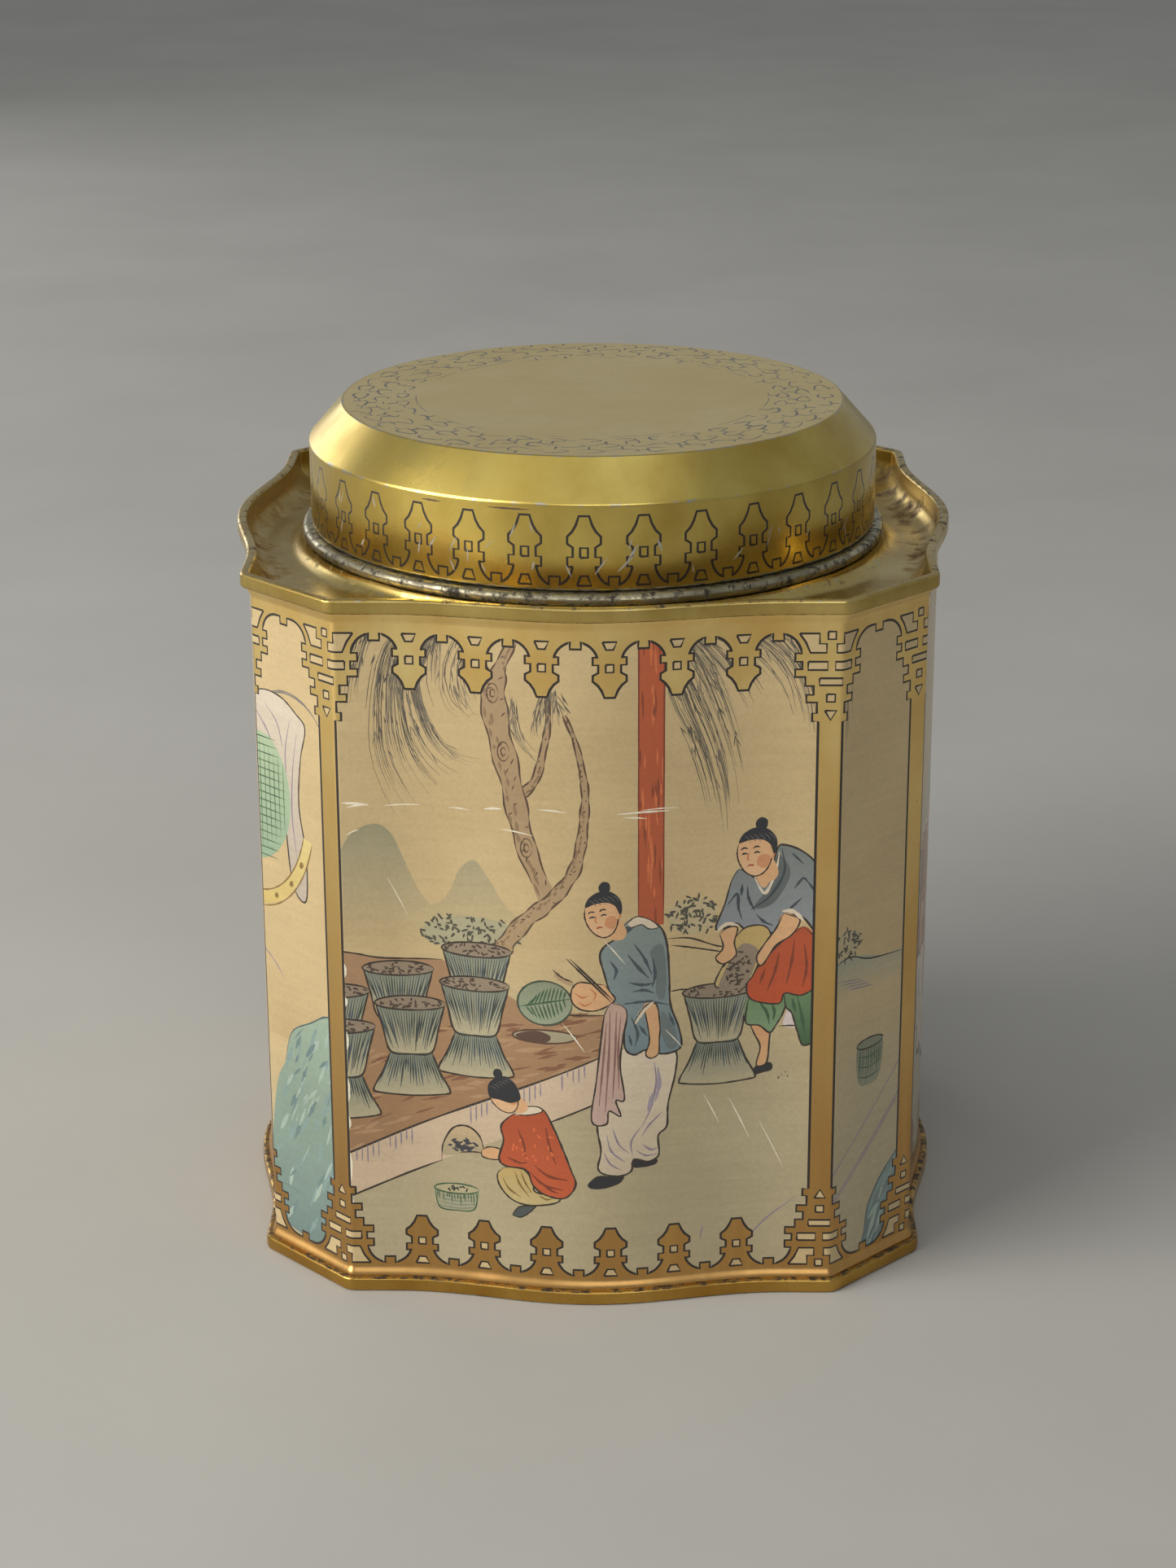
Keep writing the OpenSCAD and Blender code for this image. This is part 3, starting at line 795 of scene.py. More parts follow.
def pouring_worker(sheet, p, v, size=1.0, mirror=False, coat=SLATE, coat_dark=SLATE_DARK, apron=RED,
                   apron_dark=RED_DARK):
    """A worker in a crossed robe and an apron who tips leaves from a tray."""
    sheet.place(p, v, size, mirror, pivot=(30, 60))
    sheet.shape([(28.7, 40.1), (30, 40.8), (31.4, 40.7), (31.4, 39.6), (30, 39.2), (28.7, 38.9)], HAIR, 0.2)
    sheet.shape([(27.5, 48.6), (30.8, 47.6), (31, 44), (30.6, 40.8), (29, 40.5), (29.6, 43.6), (28.6, 46)],
                (rgb("d09a6a"), SKIN), 0.28)
    sheet.shape([(27.6, 52.2), (33.4, 52.2), (33.2, 49.6), (32.2, 47.6), (31.1, 46.1), (29.4, 47.4),
                 (27.2, 48)], (GREEN, rgb("7c9670")), 0.3)
    sheet.shape([(33.2, 53.6), (38.6, 54), (39, 46), (36.6, 43.8), (35.6, 46), (34.6, 49.4), (33.6, 50.6)],
                (GREEN, GREEN_DARK), 0.3)
    folds(sheet, [[(29.4, 51.4), (30.6, 49.6), (31, 47.6)], [(31.2, 51.4), (31.8, 49.8), (31.6, 48.2)],
                  [(35.4, 52.4), (36.2, 49), (36.8, 45.6)], [(34.6, 52), (35.2, 49.6)]], GREEN_DARK, 0.55)
    robe = [(25.9, 74.4), (24.7, 72.6), (23.6, 68.6), (22.2, 64.4), (25.4, 65.2), (27.2, 64), (31.4, 63.4),
            (33, 66.4), (36, 66), (38.6, 63.4), (39.4, 70), (38.4, 74.4), (36, 77), (33, 78.2),
            (31.8, 77.4), (30.6, 72), (28.6, 72.6)]
    sheet.shape(robe, (coat, rgb("8b9092") if coat is SLATE else coat), 0.34)
    sheet.wash([(32, 76.6), (34, 73.4), (31.4, 68.4), (28.2, 67.6), (29.8, 70), (31.4, 72.6)],
               (coat + coat_dark) / 2)
    folds(sheet, [[(32.6, 77.6), (33, 73.6), (30.8, 69.6), (27.8, 67.4)],
                  [(31.9, 76.6), (31.4, 73), (29.8, 70.8)],
                  [(24, 68.4), (25.6, 70.2), (25.8, 67.8), (26.4, 65.8)],
                  [(34.6, 70.8), (36, 72.6), (36.8, 71.8)], [(36.4, 72.4), (37.8, 70.2), (37.6, 66.8)],
                  [(33.4, 66.8), (34.8, 68.2), (35.8, 69.2)], [(27.2, 71.4), (27.4, 69.4), (28.4, 67.2)],
                  [(26.4, 71.8), (26.2, 69.8)], [(34.2, 76.8), (36, 75)],
                  [(28.6, 66.6), (30, 65.2), (31.4, 64.6)]], coat_dark, 0.5)
    sheet.shape([(36.2, 64.4), (38.4, 61.6), (38.6, 55), (36.2, 52.6), (33.4, 52.9), (32.4, 51.1), (28, 52),
                 (27.4, 55), (29.6, 58.2), (32.6, 61.6)], (apron, rgb("bd4f26") if apron is RED else apron),
                0.3)
    folds(sheet, [[(34.8, 62.2), (34.4, 58.4), (33.6, 54.4)], [(32.4, 60), (31.8, 56.8), (30.6, 53.4)],
                  [(36.4, 61.4), (36.8, 57.4), (36.2, 54)], [(30.2, 57.2), (29.4, 54.6)]], apron_dark, 0.5)
    sheet.shape([(25, 62.4), (27, 64.4), (29.8, 64.6), (31, 63), (29.9, 60.4), (27.4, 55), (22.2, 54.6),
                 (23.8, 59)], (YELLOW, rgb("c2ac72")), 0.28)
    sheet.wash([(26.4, 61.6), (28.6, 61), (29, 59.4), (27, 54.6), (22.8, 54.2), (24.4, 58.6)], LEAVES)
    specks(sheet, 46, (25.6, 57.8, 2.1, 3.2), 0.8, rgb("43352a"), (1, 0.5))
    sheet.shape([(22.8, 63.6), (24.2, 64.6), (25.7, 64.4), (25.2, 62), (25.5, 59.8), (23.5, 58.4),
                 (22.2, 59.5), (23.4, 61.2)], SKIN, 0.28)
    sheet.shape([(33, 66.6), (35.6, 65.6), (34.4, 63), (31.9, 61.2), (29.7, 57.8), (28.8, 59.2), (30, 61.4),
                 (31.8, 64)], SKIN, 0.28)
    sheet.line([(32.8, 67), (34.6, 66.9), (36.2, 65.4)], 0.7, WHITE)
    sheet.line([(22.4, 64.1), (24, 65.2), (25.8, 64.9)], 0.6, WHITE)
    sheet.wash([(28.6, 73), (30, 71), (31.4, 74), (30.4, 75)], SKIN)
    folds(sheet, [[(28.2, 73.2), (29.2, 71), (30.2, 70.2), (31.6, 73.6), (32.2, 77)]], WHITE, 0.55)
    head(sheet, *sheet.spot((28.4, 76.9)), size * 0.98, mirror, tilt=0.1)


def hills(sheet, tops, foot, colour=HILL):
    """Far hills that fade into mist: a wash between a line of tops and a foot height."""
    outline = np.concatenate([curve(tops), [(tops[-1][0], foot), (tops[0][0], foot)]])
    high = max(top[1] for top in tops)
    sheet.fill([outline], fade(colour, CREAM, high - 1, foot))


def bush(sheet, p, v, wide, high, count, wash=None):
    """A far bush: a pale wash under many dark dabs."""
    sheet.place()
    if wash is not None:
        sheet.wash(ellipse(p, v, wide * 0.95, high * 0.9)[::4], wash)
    specks(sheet, count, (p, v, wide, high), 0.95, rgb("4d4a3c"), (1, 0.8))


WILLOW = [rgb("5b5244"), rgb("746957"), rgb("867a64"), rgb("4d4940")]


def willow(sheet, first, last, count):
    """Fine willow strands that fall between two guide lines of the same number of points."""
    rng = sheet.rng
    first, last = curve(first, steps=3), curve(last, steps=3)
    for _ in range(count):
        line = first + (last - first) * rng.uniform(-0.15, 1.15) + rng.normal(0, 0.5, 2)
        line += np.cumsum(rng.normal(0, 0.03, line.shape), axis=0)
        begin = int(len(line) * rng.choice((0, rng.uniform(0, 0.6))))
        end = max(begin + 4, int(len(line) * rng.uniform(0.55, 1)))
        shade = WILLOW[int(rng.integers(len(WILLOW)))]
        sheet.line(line[begin:end], rng.uniform(0.12, 0.22), shade, taper=0.6, smooth=False)
        for k in rng.integers(begin, max(end - 3, begin + 1), 2):
            run = line[min(k + 1, len(line) - 1)] - line[k]
            reach = rng.uniform(1.2, 2.4) / max(np.linalg.norm(run), 1e-6)
            turn = np.array([-run[1], run[0]]) * rng.uniform(-0.3, 0.3)
            sheet.line([line[k], line[k] + (run + turn) * reach], 0.2, shade, taper=0.5)


def willow_crown(sheet, p, v, sway, drop, wide, count):
    """Strands that arch out to one side of a place and fall."""
    fall = ((0, 0), (0.4, -0.08), (0.75, -0.28), (0.95, -0.6), (1, -1))
    willow(sheet, [(p + sway * out, v + drop * down) for out, down in fall],
           [(p + wide + (sway + wide * 0.6) * out, v + 0.62 * drop * down) for out, down in fall], count)


def trunk(sheet, centre, first_width, last_width, knots=()):
    """A trunk or bough along a line, with bark marks and knots (shares of its length)."""
    rng = sheet.rng
    centre = curve(centre)
    run = np.gradient(centre, axis=0)
    side = np.stack([run[:, 1], -run[:, 0]], 1) / np.linalg.norm(run, axis=1, keepdims=True)
    width = np.linspace(first_width, last_width, len(centre))
    half = (width * (1 + 0.12 * np.sin(np.arange(len(centre)) * 1.1)) / 2)[:, None]
    left, right = centre - side * half, centre + side * half
    sheet.fill([np.concatenate([left, right[::-1]])], BARK)
    for k in range(1, len(centre) - 2):
        if width[k] > 1.2:
            shade = centre[k] + side[k] * half[k] * rng.uniform(0.1, 0.8)
            sheet.line([shade, shade + run[k] * rng.uniform(0.6, 1.6)], rng.uniform(0.3, 0.8), BARK_SHADE,
                       taper=0.5)
        if rng.random() < 0.5:
            start = centre[k] + side[k] * half[k] * rng.uniform(-0.9, 0.5)
            sheet.line([start, start + side[k] * half[k] * 0.35 + run[k] * rng.uniform(0.1, 0.7)], 0.2,
                       BARK_DARK)
    for share in knots:
        spot = centre[int(share * (len(centre) - 1))]
        for reach in (0.34, 0.14):
            sheet.line(ellipse(*spot, last_width * reach, last_width * reach * 1.7), 0.22, BARK_DARK,
                       smooth=False)
    for edge in (left, right):
        for k in range(0, len(edge) - 3, 4):
            sheet.line(edge[k:k + 5], 0.34, BARK_DARK, taper=0.3, smooth=False)


def post(sheet, p, wide, top, foot):
    """A red lacquered post with darker brush marks."""
    rng = sheet.rng
    sheet.fill([[(p - wide / 2, foot), (p + wide / 2, foot), (p + wide / 2, top), (p - wide / 2, top)]],
               fade(POST, rgb("b4562f"), top, foot))
    for _ in range(46):
        start = np.array([p + rng.uniform(-0.45, 0.45) * wide, rng.uniform(foot + 1, top)])
        sheet.line([start, start + (rng.normal(0, 0.08), -rng.uniform(1.5, 5))], 0.42,
                   POST_DARK if rng.random() < 0.6 else rgb("d4713f"), taper=0.4)
    for side in (-0.5, 0.5):
        sheet.line([(p + side * wide, top), (p + side * wide, (top + foot) / 2), (p + side * wide, foot)],
                   0.26, RED_DARK, taper=0.02)


def leaf_fan(sheet, p, v, wide=4.4, high=3.8):
    """A round palm-leaf fan with its ribs."""
    sheet.place()
    outline = ellipse(p, v, wide, high)
    sheet.fill([outline], fade(FAN, rgb("98a184"), v + high, v - high))
    for share in np.linspace(-0.85, 0.85, 10):
        root = np.array([p + share * wide * 0.8, v + share * 0.9])
        up = np.array([0.8 - 0.5 * share, 2.7 * math.sqrt(1 - share * share)])
        sheet.line([root, root + up], 0.3, GREEN_DARK)
        sheet.line([root, root + up * (1, -1)], 0.3, GREEN_DARK)
    sheet.line([(p - wide, v - 0.9), (p, v + 0.1), (p + wide, v + 1.0)], 0.3, GREEN_DARK)
    sheet.ring(outline, 0.34, rgb("3f4a38"))


def scratches(sheet, places, colour=None):
    """Fine bright scratches through the ink, each from one place with a run."""
    for (p, v), (run, rise), width in places:
        sheet.line([(p, v), (p + run * 0.5, v + rise * 0.5 + 0.1), (p + run, v + rise)], width,
                   rgb("e9dcb8") if colour is None else colour, taper=0.4)


# ---------------------------------------------------------------- the pictures
def yard(sheet, horizon):
    """A pale wash over the ground below a far line."""
    sheet.place()
    sheet.fill([[(-42, -5), (42, -5), (42, horizon), (-42, horizon)]],
               fade(CREAM, GROUND, horizon, horizon - 26))


def willow_tree(sheet):
    """A leaning willow with a thin bough that curves round to the right."""
    sheet.place()
    trunk(sheet, [(-14.2, 106), (-15.6, 109.5), (-17.6, 114)], 2.4, 1.6)
    trunk(sheet, [(-12.6, 106), (-11.2, 109.5), (-8.8, 114)], 2.4, 1.0)
    trunk(sheet, [(-8.6, 87.6), (-6.3, 90.4), (-5.1, 95), (-4.3, 99.5), (-4.4, 104)], 1.5, 0.6)
    trunk(sheet, [(-13.25, 107.5), (-12.9, 103), (-12, 97.2), (-10.4, 90.5), (-9, 83.5), (-7.5, 77.7),
                  (-4.6, 70.6)], 4.4, 2.7, (0.14, 0.42, 0.8))
    trunk(sheet, [(-1.8, 101), (-0.1, 96.7), (0.9, 92.2), (1.4, 88), (1.2, 83.9), (0.7, 79.7), (-0.3, 75.6),
                  (-2.4, 72.2), (-5, 69.4), (-8, 66.8), (-11, 63.1), (-12, 61.2)], 0.5, 2.9)


def firing_bench(sheet):
    """The long clay bench with its fire hole, with baskets of leaves standing on it."""
    rng = sheet.rng
    sheet.place()
    top = [(-42, 60.4), (-36, 59.6), (-31, 58.8), (-22, 58.9), (-15, 56), (-8, 51.8), (6, 50.9), (6, 44.7),
           (-42, 22.5)]
    sheet.fill([top], fade(rgb("a6825e"), BENCH, 58, 34))
    for _ in range(90):
        share = rng.random()
        start = np.array([-41 + 46 * rng.random(), 0.0])
        start[1] = 22.6 + (start[0] + 42) * 0.4625 + share * (20 - 0.24 * (start[0] + 42))
        sheet.line([start, start + np.array([rng.uniform(2, 5), rng.uniform(0.4, 1.6)])],
                   rng.uniform(0.3, 0.9), BENCH_DARK if rng.random() < 0.5 else rgb("b08c66"), taper=0.5)
    sheet.line(top[:4], 0.3)
    sheet.line([(-9.8, 52.2), (-2, 51), (5.5, 50.9)], 0.26)
    sheet.fill([[(-42, 22.5), (6, 44.7), (6, 36.9), (-42, 14.6)]], fade(rgb("cfb79b"), PLASTER, 42, 18))
    sheet.line([(-42, 22.5), (-18, 33.6), (6, 44.7)], 0.36, taper=0.02)
    sheet.line([(-42, 14.6), (-36, 17.4), (-22.4, 23.6)], 0.34, taper=0.02)
    sheet.line([(-7, 30.9), (-2, 33.2), (4, 36)], 0.3, taper=0.02)
    for first in (-36.5, -31.0, -17.6, -9.6, -2.5):
        for step in range(5):
            start = np.array([first + step * 0.9, 22.5 + (first + step * 0.9 + 42) * 0.4625])
            sheet.line([start, start - (0, rng.uniform(0.9, 3.4))], 0.24, LILAC)
    sheet.wash([(-22.3, 24.6), (-22.2, 27.2), (-20.6, 29.6), (-18.4, 30), (-16.4, 28.6), (-15.6, 26.6),
                (-15.2, 25.4), (-18.6, 25)], (rgb("c8ad83"), rgb("aa9c7c")))
    sheet.line([(-22.6, 23.6), (-22.3, 26.6), (-20.6, 29.5), (-18.2, 30), (-16.2, 28.4), (-15.4, 25.5)],
               0.32)
    sheet.line([(-19.6, 25.2), (-17.4, 25.5), (-15.4, 25.5)], 0.26)
    specks(sheet, 34, (-19.0, 26.6, 2.4, 1.1), 1.0, rgb("3b3a40"), (1, 0.4))


def tray_of_leaves(sheet, p, v, wide=5.2):
    """A shallow oval tray half full of dark leaves."""
    sheet.place()
    rim = ellipse(p, v, wide, 1.15)
    sheet.fill([rim], rgb("a59a7c"))
    sheet.wash([(p - wide * 0.9, v), (p - 1.5, v + 0.95), (p + 0.9, v + 0.2), (p + 0.4, v - 0.9),
                (p - 2.6, v - 1.05)], rgb("5a4032"))
    sheet.ring(rim, 0.34, rgb("5a3e2b"))


def front_scene(sheet):
    """Workers drying leaves at a firing bench under a willow."""
    yard(sheet, 62)
    hills(sheet, [(-42, 70), (-38, 76.5), (-35.8, 80), (-32.2, 81.6), (-29.6, 80), (-27.6, 75.5),
                  (-25.4, 70.6), (-23.2, 68.2), (-20.6, 70.4), (-18.8, 74.4), (-16.4, 76.2), (-14, 73.2),
                  (-11.4, 69), (-8, 66)], 60)
    bush(sheet, -17, 63.6, 8.6, 3.4, 110, rgb("aba482"))
    bush(sheet, 18.4, 67.0, 4.2, 3.4, 80, rgb("bfae86"))
    sheet.line([(14.2, 63.5), (18, 63.3), (22.4, 61.6), (26, 61)], 0.28)
    for step in range(5):
        sheet.line([(15.0 + step * 1.2, 62.3 - step * 0.25), (18.6 + step * 1.2, 61.7 - step * 0.3)], 0.24)
    sheet.line([(14.8, 54.4), (16.4, 54.6), (18.2, 54.5)], 0.28)
    sheet.wash([(33.2, 47.4), (34.8, 51.4), (36.4, 47.4)], rgb("d6c6c0"))
    sheet.line([(32.4, 47.2), (34.5, 47.3), (37.4, 47.2)], 0.24)
    willow_tree(sheet)
    strands = (
        ([(-33, 116), (-35, 112), (-37, 106), (-38, 100)],
         [(-31, 116), (-32.5, 112), (-34, 106), (-35, 99)], 26),
        ([(-24, 116), (-29.6, 110), (-31.4, 100), (-30.6, 91), (-25.6, 81)],
         [(-21.6, 114), (-25.2, 105.4), (-23.1, 97), (-19.6, 93), (-15.4, 91.6)], 74),
        ([(-23, 117), (-28, 111), (-30, 104), (-29, 97)],
         [(-20.4, 116), (-22, 111), (-22.4, 105), (-20.6, 99)], 40),
        ([(-16.3, 116), (-20.2, 107.5), (-19.4, 101.4), (-16, 99)],
         [(-15, 114), (-17.4, 108), (-16.4, 103), (-14.4, 101)], 18),
        ([(-10.4, 105), (-9.8, 98.5), (-7.2, 94), (-5.6, 92.8)],
         [(-9.6, 103), (-9, 98), (-7, 95), (-5.8, 94.8)], 8),
        ([(-4.4, 105), (-5.6, 101.5), (-6.4, 98.5), (-6.4, 95.4)],
         [(-3.4, 105), (-2.6, 103.4), (-2, 101.8), (-1.6, 99.8)], 22),
        ([(13.9, 114), (14.8, 104), (18.4, 95.5), (21.2, 85.5), (21.8, 74.6)],
         [(16, 116), (21, 108), (24.4, 99), (26, 93), (27, 88)], 46),
        ([(14.4, 113), (16, 107), (18, 102), (19.6, 97)],
         [(16.6, 116), (22, 112), (27, 106), (30, 100)], 46),
        ([(18, 116), (26.6, 111.6), (32.6, 105), (35.4, 97)],
         [(20, 117), (30, 113.4), (36, 106.6), (38.2, 93)], 34),
        ([(30, 117), (34, 111), (36.6, 104), (37, 96)], [(31, 117), (36, 112), (38, 106), (38.2, 99)], 12))
    for first, last, count in strands:
        willow(sheet, first, last, count)
    post(sheet, 11.7, 4.0, 120, 66.0)
    firing_bench(sheet)
    basket(sheet, -16.2, 45.5, foot=False)
    basket(sheet, -29.0, 41.6, foot=False)
    basket(sheet, -39.4, 37.6, foot=False)
    basket(sheet, -16.6, 39.6)
    basket(sheet, -38.6, 31.4)
    basket(sheet, -27.2, 35.6)
    tray_of_leaves(sheet, -5.3, 47.0)
    leaf_fan(sheet, -5.2, 52.8)
    crouching_helper(sheet, -8, 24)
    open_basket(sheet, -20.2, 16.6)
    standing_worker(sheet, 8, 44)
    basket(sheet, 22.6, 38.4)
    pouring_worker(sheet, 30, 60)
    sheet.place()
    specks(sheet, 5, (33.4, 38.4, 1.2, 0.8), 0.4, INK)
    sheet.line([(27.5, 9), (31, 13), (36, 17)], 0.24, LILAC)
    sheet.line([(20.5, 12.5), (20, 10)], 0.2, LILAC)
    worn = rgb("efe6cc")
    scratches(sheet, [((-37.2, 85), (4.2, -0.3), 0.5), ((-36.4, 84.3), (2.8, 0.4), 0.3),
                      ((-30.5, 84.6), (5.6, 0.3), 0.26), ((-20.4, 84.7), (3.4, -0.2), 0.22),
                      ((-14.6, 84.9), (2.8, 0.2), 0.4), ((-6, 85.4), (4.4, -0.3), 0.3),
                      ((6.4, 84.8), (8.2, 0.2), 0.36), ((7.2, 84.2), (3.8, -0.3), 0.24),
                      ((10.2, 85.3), (5.8, 0.1), 0.2), ((-12, 81.8), (5.2, -0.8), 0.2),
                      ((-36.8, 79.6), (2.2, 1), 0.2), ((20.4, 36), (2.6, -5.2), 0.2),
                      ((24.6, 35), (3.4, -7.2), 0.2), ((-2.4, 49.5), (3.6, -5), 0.2),
                      ((4.2, 63.8), (3.4, -4.2), 0.18), ((14, 48), (3, -3.6), 0.16),
                      ((29.6, 30.6), (4, -8.4), 0.16), ((-30.4, 72.6), (3.2, -6.4), 0.14)], worn)
    for v, length in ((57.8, 2.4), (52, 1.6), (46, 3.2), (38, 4.6), (31, 2.2), (24.5, 5), (17.5, 3.4),
                      (13.6, 1.4)):
        sheet.line([(-37.65, v), (-37.5, v - length / 2), (-37.6, v - length)], 0.5, worn)


def right_scene(sheet):
    """Pickers bringing leaves down from the hills."""
    yard(sheet, 66)
    hills(sheet, [(-42, 74), (-34, 82), (-27, 78), (-20, 70), (-12, 73), (-4, 84), (3, 88), (9, 82),
                  (16, 72), (25, 75), (33, 83), (42, 76)], 60, rgb("a7ad9c"))
    hills(sheet, [(-42, 66), (-30, 70), (-18, 64), (-4, 62), (10, 66), (26, 63), (42, 67)], 52,
          rgb("b3b295"))
    for row, (v, count) in enumerate(((62, 9), (57, 8), (51, 7))):
        for k in range(count):
            bush(sheet, -36 + k * 9.4 + row * 3, v, 3.4, 1.9, 26, rgb("9aa27e"))
    sheet.place()
    post(sheet, -27, 3.6, 120, 40)
    willow_crown(sheet, 38, 117, -10, 34, -3, 70)
    willow_crown(sheet, 24, 117, -14, 40, 4, 60)
    willow_crown(sheet, 8, 117, -9, 26, 3, 40)
    standing_worker(sheet, -8, 44, mirror=True, coat=rgb("b07a4c"), coat_dark=rgb("6d4526"))
    basket(sheet, 10.5, 26, 0.95)
    basket(sheet, 21.5, 21)
    basket(sheet, 21.0, 30.5, foot=False)
    pouring_worker(sheet, 26, 62, mirror=True, coat=rgb("8b9270"), coat_dark=rgb("4c5638"),
                   apron=rgb("8f9aa0"), apron_dark=SLATE_DARK)
    open_basket(sheet, -24, 22)
    crouching_helper(sheet, -27, 25, mirror=True, coat=rgb("8798a2"), coat_dark=SLATE_DARK)
    sheet.place()
    sheet.line([(-40, 42), (-20, 44.5), (4, 43.5), (38, 46)], 0.26)
    sheet.line([(-34, 12), (-12, 14), (12, 11.5)], 0.22, LILAC)
    scratches(sheet, [((-22, 71), (7, -0.6), 0.22), ((9, 48), (3, -8), 0.18), ((24, 96), (5, -2), 0.2)])


def back_scene(sheet):
    """Leaves being sifted in a yard beside a pavilion."""
    yard(sheet, 58)
    hills(sheet, [(-42, 68), (-30, 72), (-16, 67), (0, 74), (12, 80), (22, 74), (32, 69), (42, 72)], 56)
    bush(sheet, 28, 60, 9, 4, 120, rgb("aba482"))
    sheet.place()
    for level, reach in ((100, 30), (94, 34)):
        roof = [(-42, level + 9), (-42 + reach * 0.5, level + 8), (-42 + reach, level + 1),
                (-42 + reach + 3, level + 3), (-42 + reach + 2, level - 1), (-42 + reach * 0.5, level + 2),
                (-42, level + 3)]
        sheet.shape(roof, (rgb("8a9088"), rgb("6c746f")), 0.34)
        hatching(sheet, (-40, level + 8), (-14, level + 3), 22, (1.5, -4), 0.26, SLATE_DARK)
    post(sheet, -18, 3.8, 98, 48)
    post(sheet, -36, 3.8, 98, 42)
    willow_crown(sheet, 8, 117, 9, 40, 3, 70)
    willow_crown(sheet, 22, 117, 12, 33, 3, 70)
    sheet.place()
    table = [(-6, 40), (30, 40), (36, 48), (2, 48)]
    sheet.fill([table], fade(rgb("b98b62"), BENCH, 48, 40))
    for foot in ((-5, 24), (29, 24), (35, 33)):
        sheet.fill([[(foot[0], 40), (foot[0] + 1.6, 40), (foot[0] + 1.6, foot[1]), (foot[0], foot[1])]],
                   BENCH_DARK)
    sheet.ring(table, 0.34, taper=0.02)
    tray_of_leaves(sheet, 9, 44.6, 7)
    tray_of_leaves(sheet, 24, 44.2, 5.6)
    standing_worker(sheet, -14, 42, mirror=False, coat=rgb("9aa086"), coat_dark=rgb("54603f"))
    pouring_worker(sheet, 15, 66, coat=rgb("a56a5a"), coat_dark=rgb("673a30"), apron=rgb("8a9aa4"),
                   apron_dark=SLATE_DARK)
    standing_worker(sheet, 31, 40, 0.96, mirror=True, coat=SLATE, coat_dark=SLATE_DARK)
    basket(sheet, -31, 20)
    basket(sheet, -31.5, 29.5, foot=False)
    open_basket(sheet, 4, 14)
    sheet.place()
    sheet.line([(-40, 17), (-24, 15.5), (-10, 18)], 0.22, LILAC)
    scratches(sheet, [((-8, 64), (9, 0.8), 0.24), ((20, 88), (4, -7), 0.18), ((-30, 58), (5, 1), 0.2)])


def left_scene(sheet):
    """Chests being filled under a willow."""
    yard(sheet, 60)
    hills(sheet, [(-42, 72), (-34, 70), (-24, 76), (-15, 83), (-8, 78), (2, 70), (14, 72), (24, 79),
                  (32, 75), (42, 70)], 57)
    sheet.place()
    willow_tree(sheet)
    willow_crown(sheet, -24, 117, -11, 38, 3, 70)
    willow_crown(sheet, -15, 115, -5, 18, 1, 24)
    willow_crown(sheet, 4, 117, 12, 36, 3, 60)
    willow_crown(sheet, 20, 117, 13, 30, 3, 60)
    for p, v in ((17, 34), (28, 40), (20, 20)):
        chest = [(p - 6, v), (p + 6, v), (p + 6, v + 9), (p - 6, v + 9)]
        lid_board = [(p - 6, v + 9), (p + 6, v + 9), (p + 8.5, v + 12), (p - 3.5, v + 12)]
        end_board = [(p + 6, v), (p + 8.5, v + 3), (p + 8.5, v + 12), (p + 6, v + 9)]
        for board, tone in ((chest, rgb("c09a63")), (lid_board, LEAVES), (end_board, rgb("97713f"))):
            sheet.fill([board], tone)
            sheet.ring(board, 0.3, taper=0.02)
        hatching(sheet, (p - 5.4, v + 8.4), (p + 5.4, v + 8.4), 13, (0, -7.6), 0.22, rgb("8a6534"))
        specks(sheet, 30, (p + 1.2, v + 10.5, 5.0, 0.9), 0.8, rgb("4b3c30"), (1, 0.4))
    standing_worker(sheet, 2, 42, mirror=True, coat=rgb("a8593a"), coat_dark=rgb("6e321c"))
    crouching_helper(sheet, -20, 24, mirror=True, coat=rgb("7f9488"), coat_dark=rgb("42564c"))
    basket(sheet, -31, 30)
    basket(sheet, -12, 14, 0.9)
    sheet.place()
    sheet.line([(-40, 46), (-24, 47.5), (-10, 46)], 0.26)
    sheet.line([(-30, 11), (4, 12.5), (34, 12)], 0.22, LILAC)
    scratches(sheet, [((-26, 66), (6, 0.6), 0.2), ((6, 97), (4, -5), 0.18)])


def rock(sheet, outline, crest=rgb("95a892"), foot=rgb("6a807b")):
    """A blue-green rock with dry brush marks that run down it."""
    rng = sheet.rng
    sheet.place()
    sheet.wash(outline, (crest, foot))
    points = curve(outline, closed=True)
    low, high = points.min(0), points.max(0)
    for start in rng.uniform(low, high, (120, 2)):
        run = np.array([rng.uniform(-2.4, -0.8), rng.uniform(-4.6, -1.8)])
        if is_inside([points], np.array([start, start + run])).all():
            tone = (rgb("667f7d"), rgb("7f9792"), rgb("9fb0a2"))[int(rng.integers(3))]
            sheet.line([start, start + run], rng.uniform(0.25, 1.3), tone, taper=0.6)
    sheet.line(outline[:len(outline) // 2 + 1], 0.34, rgb("4a5c5c"))


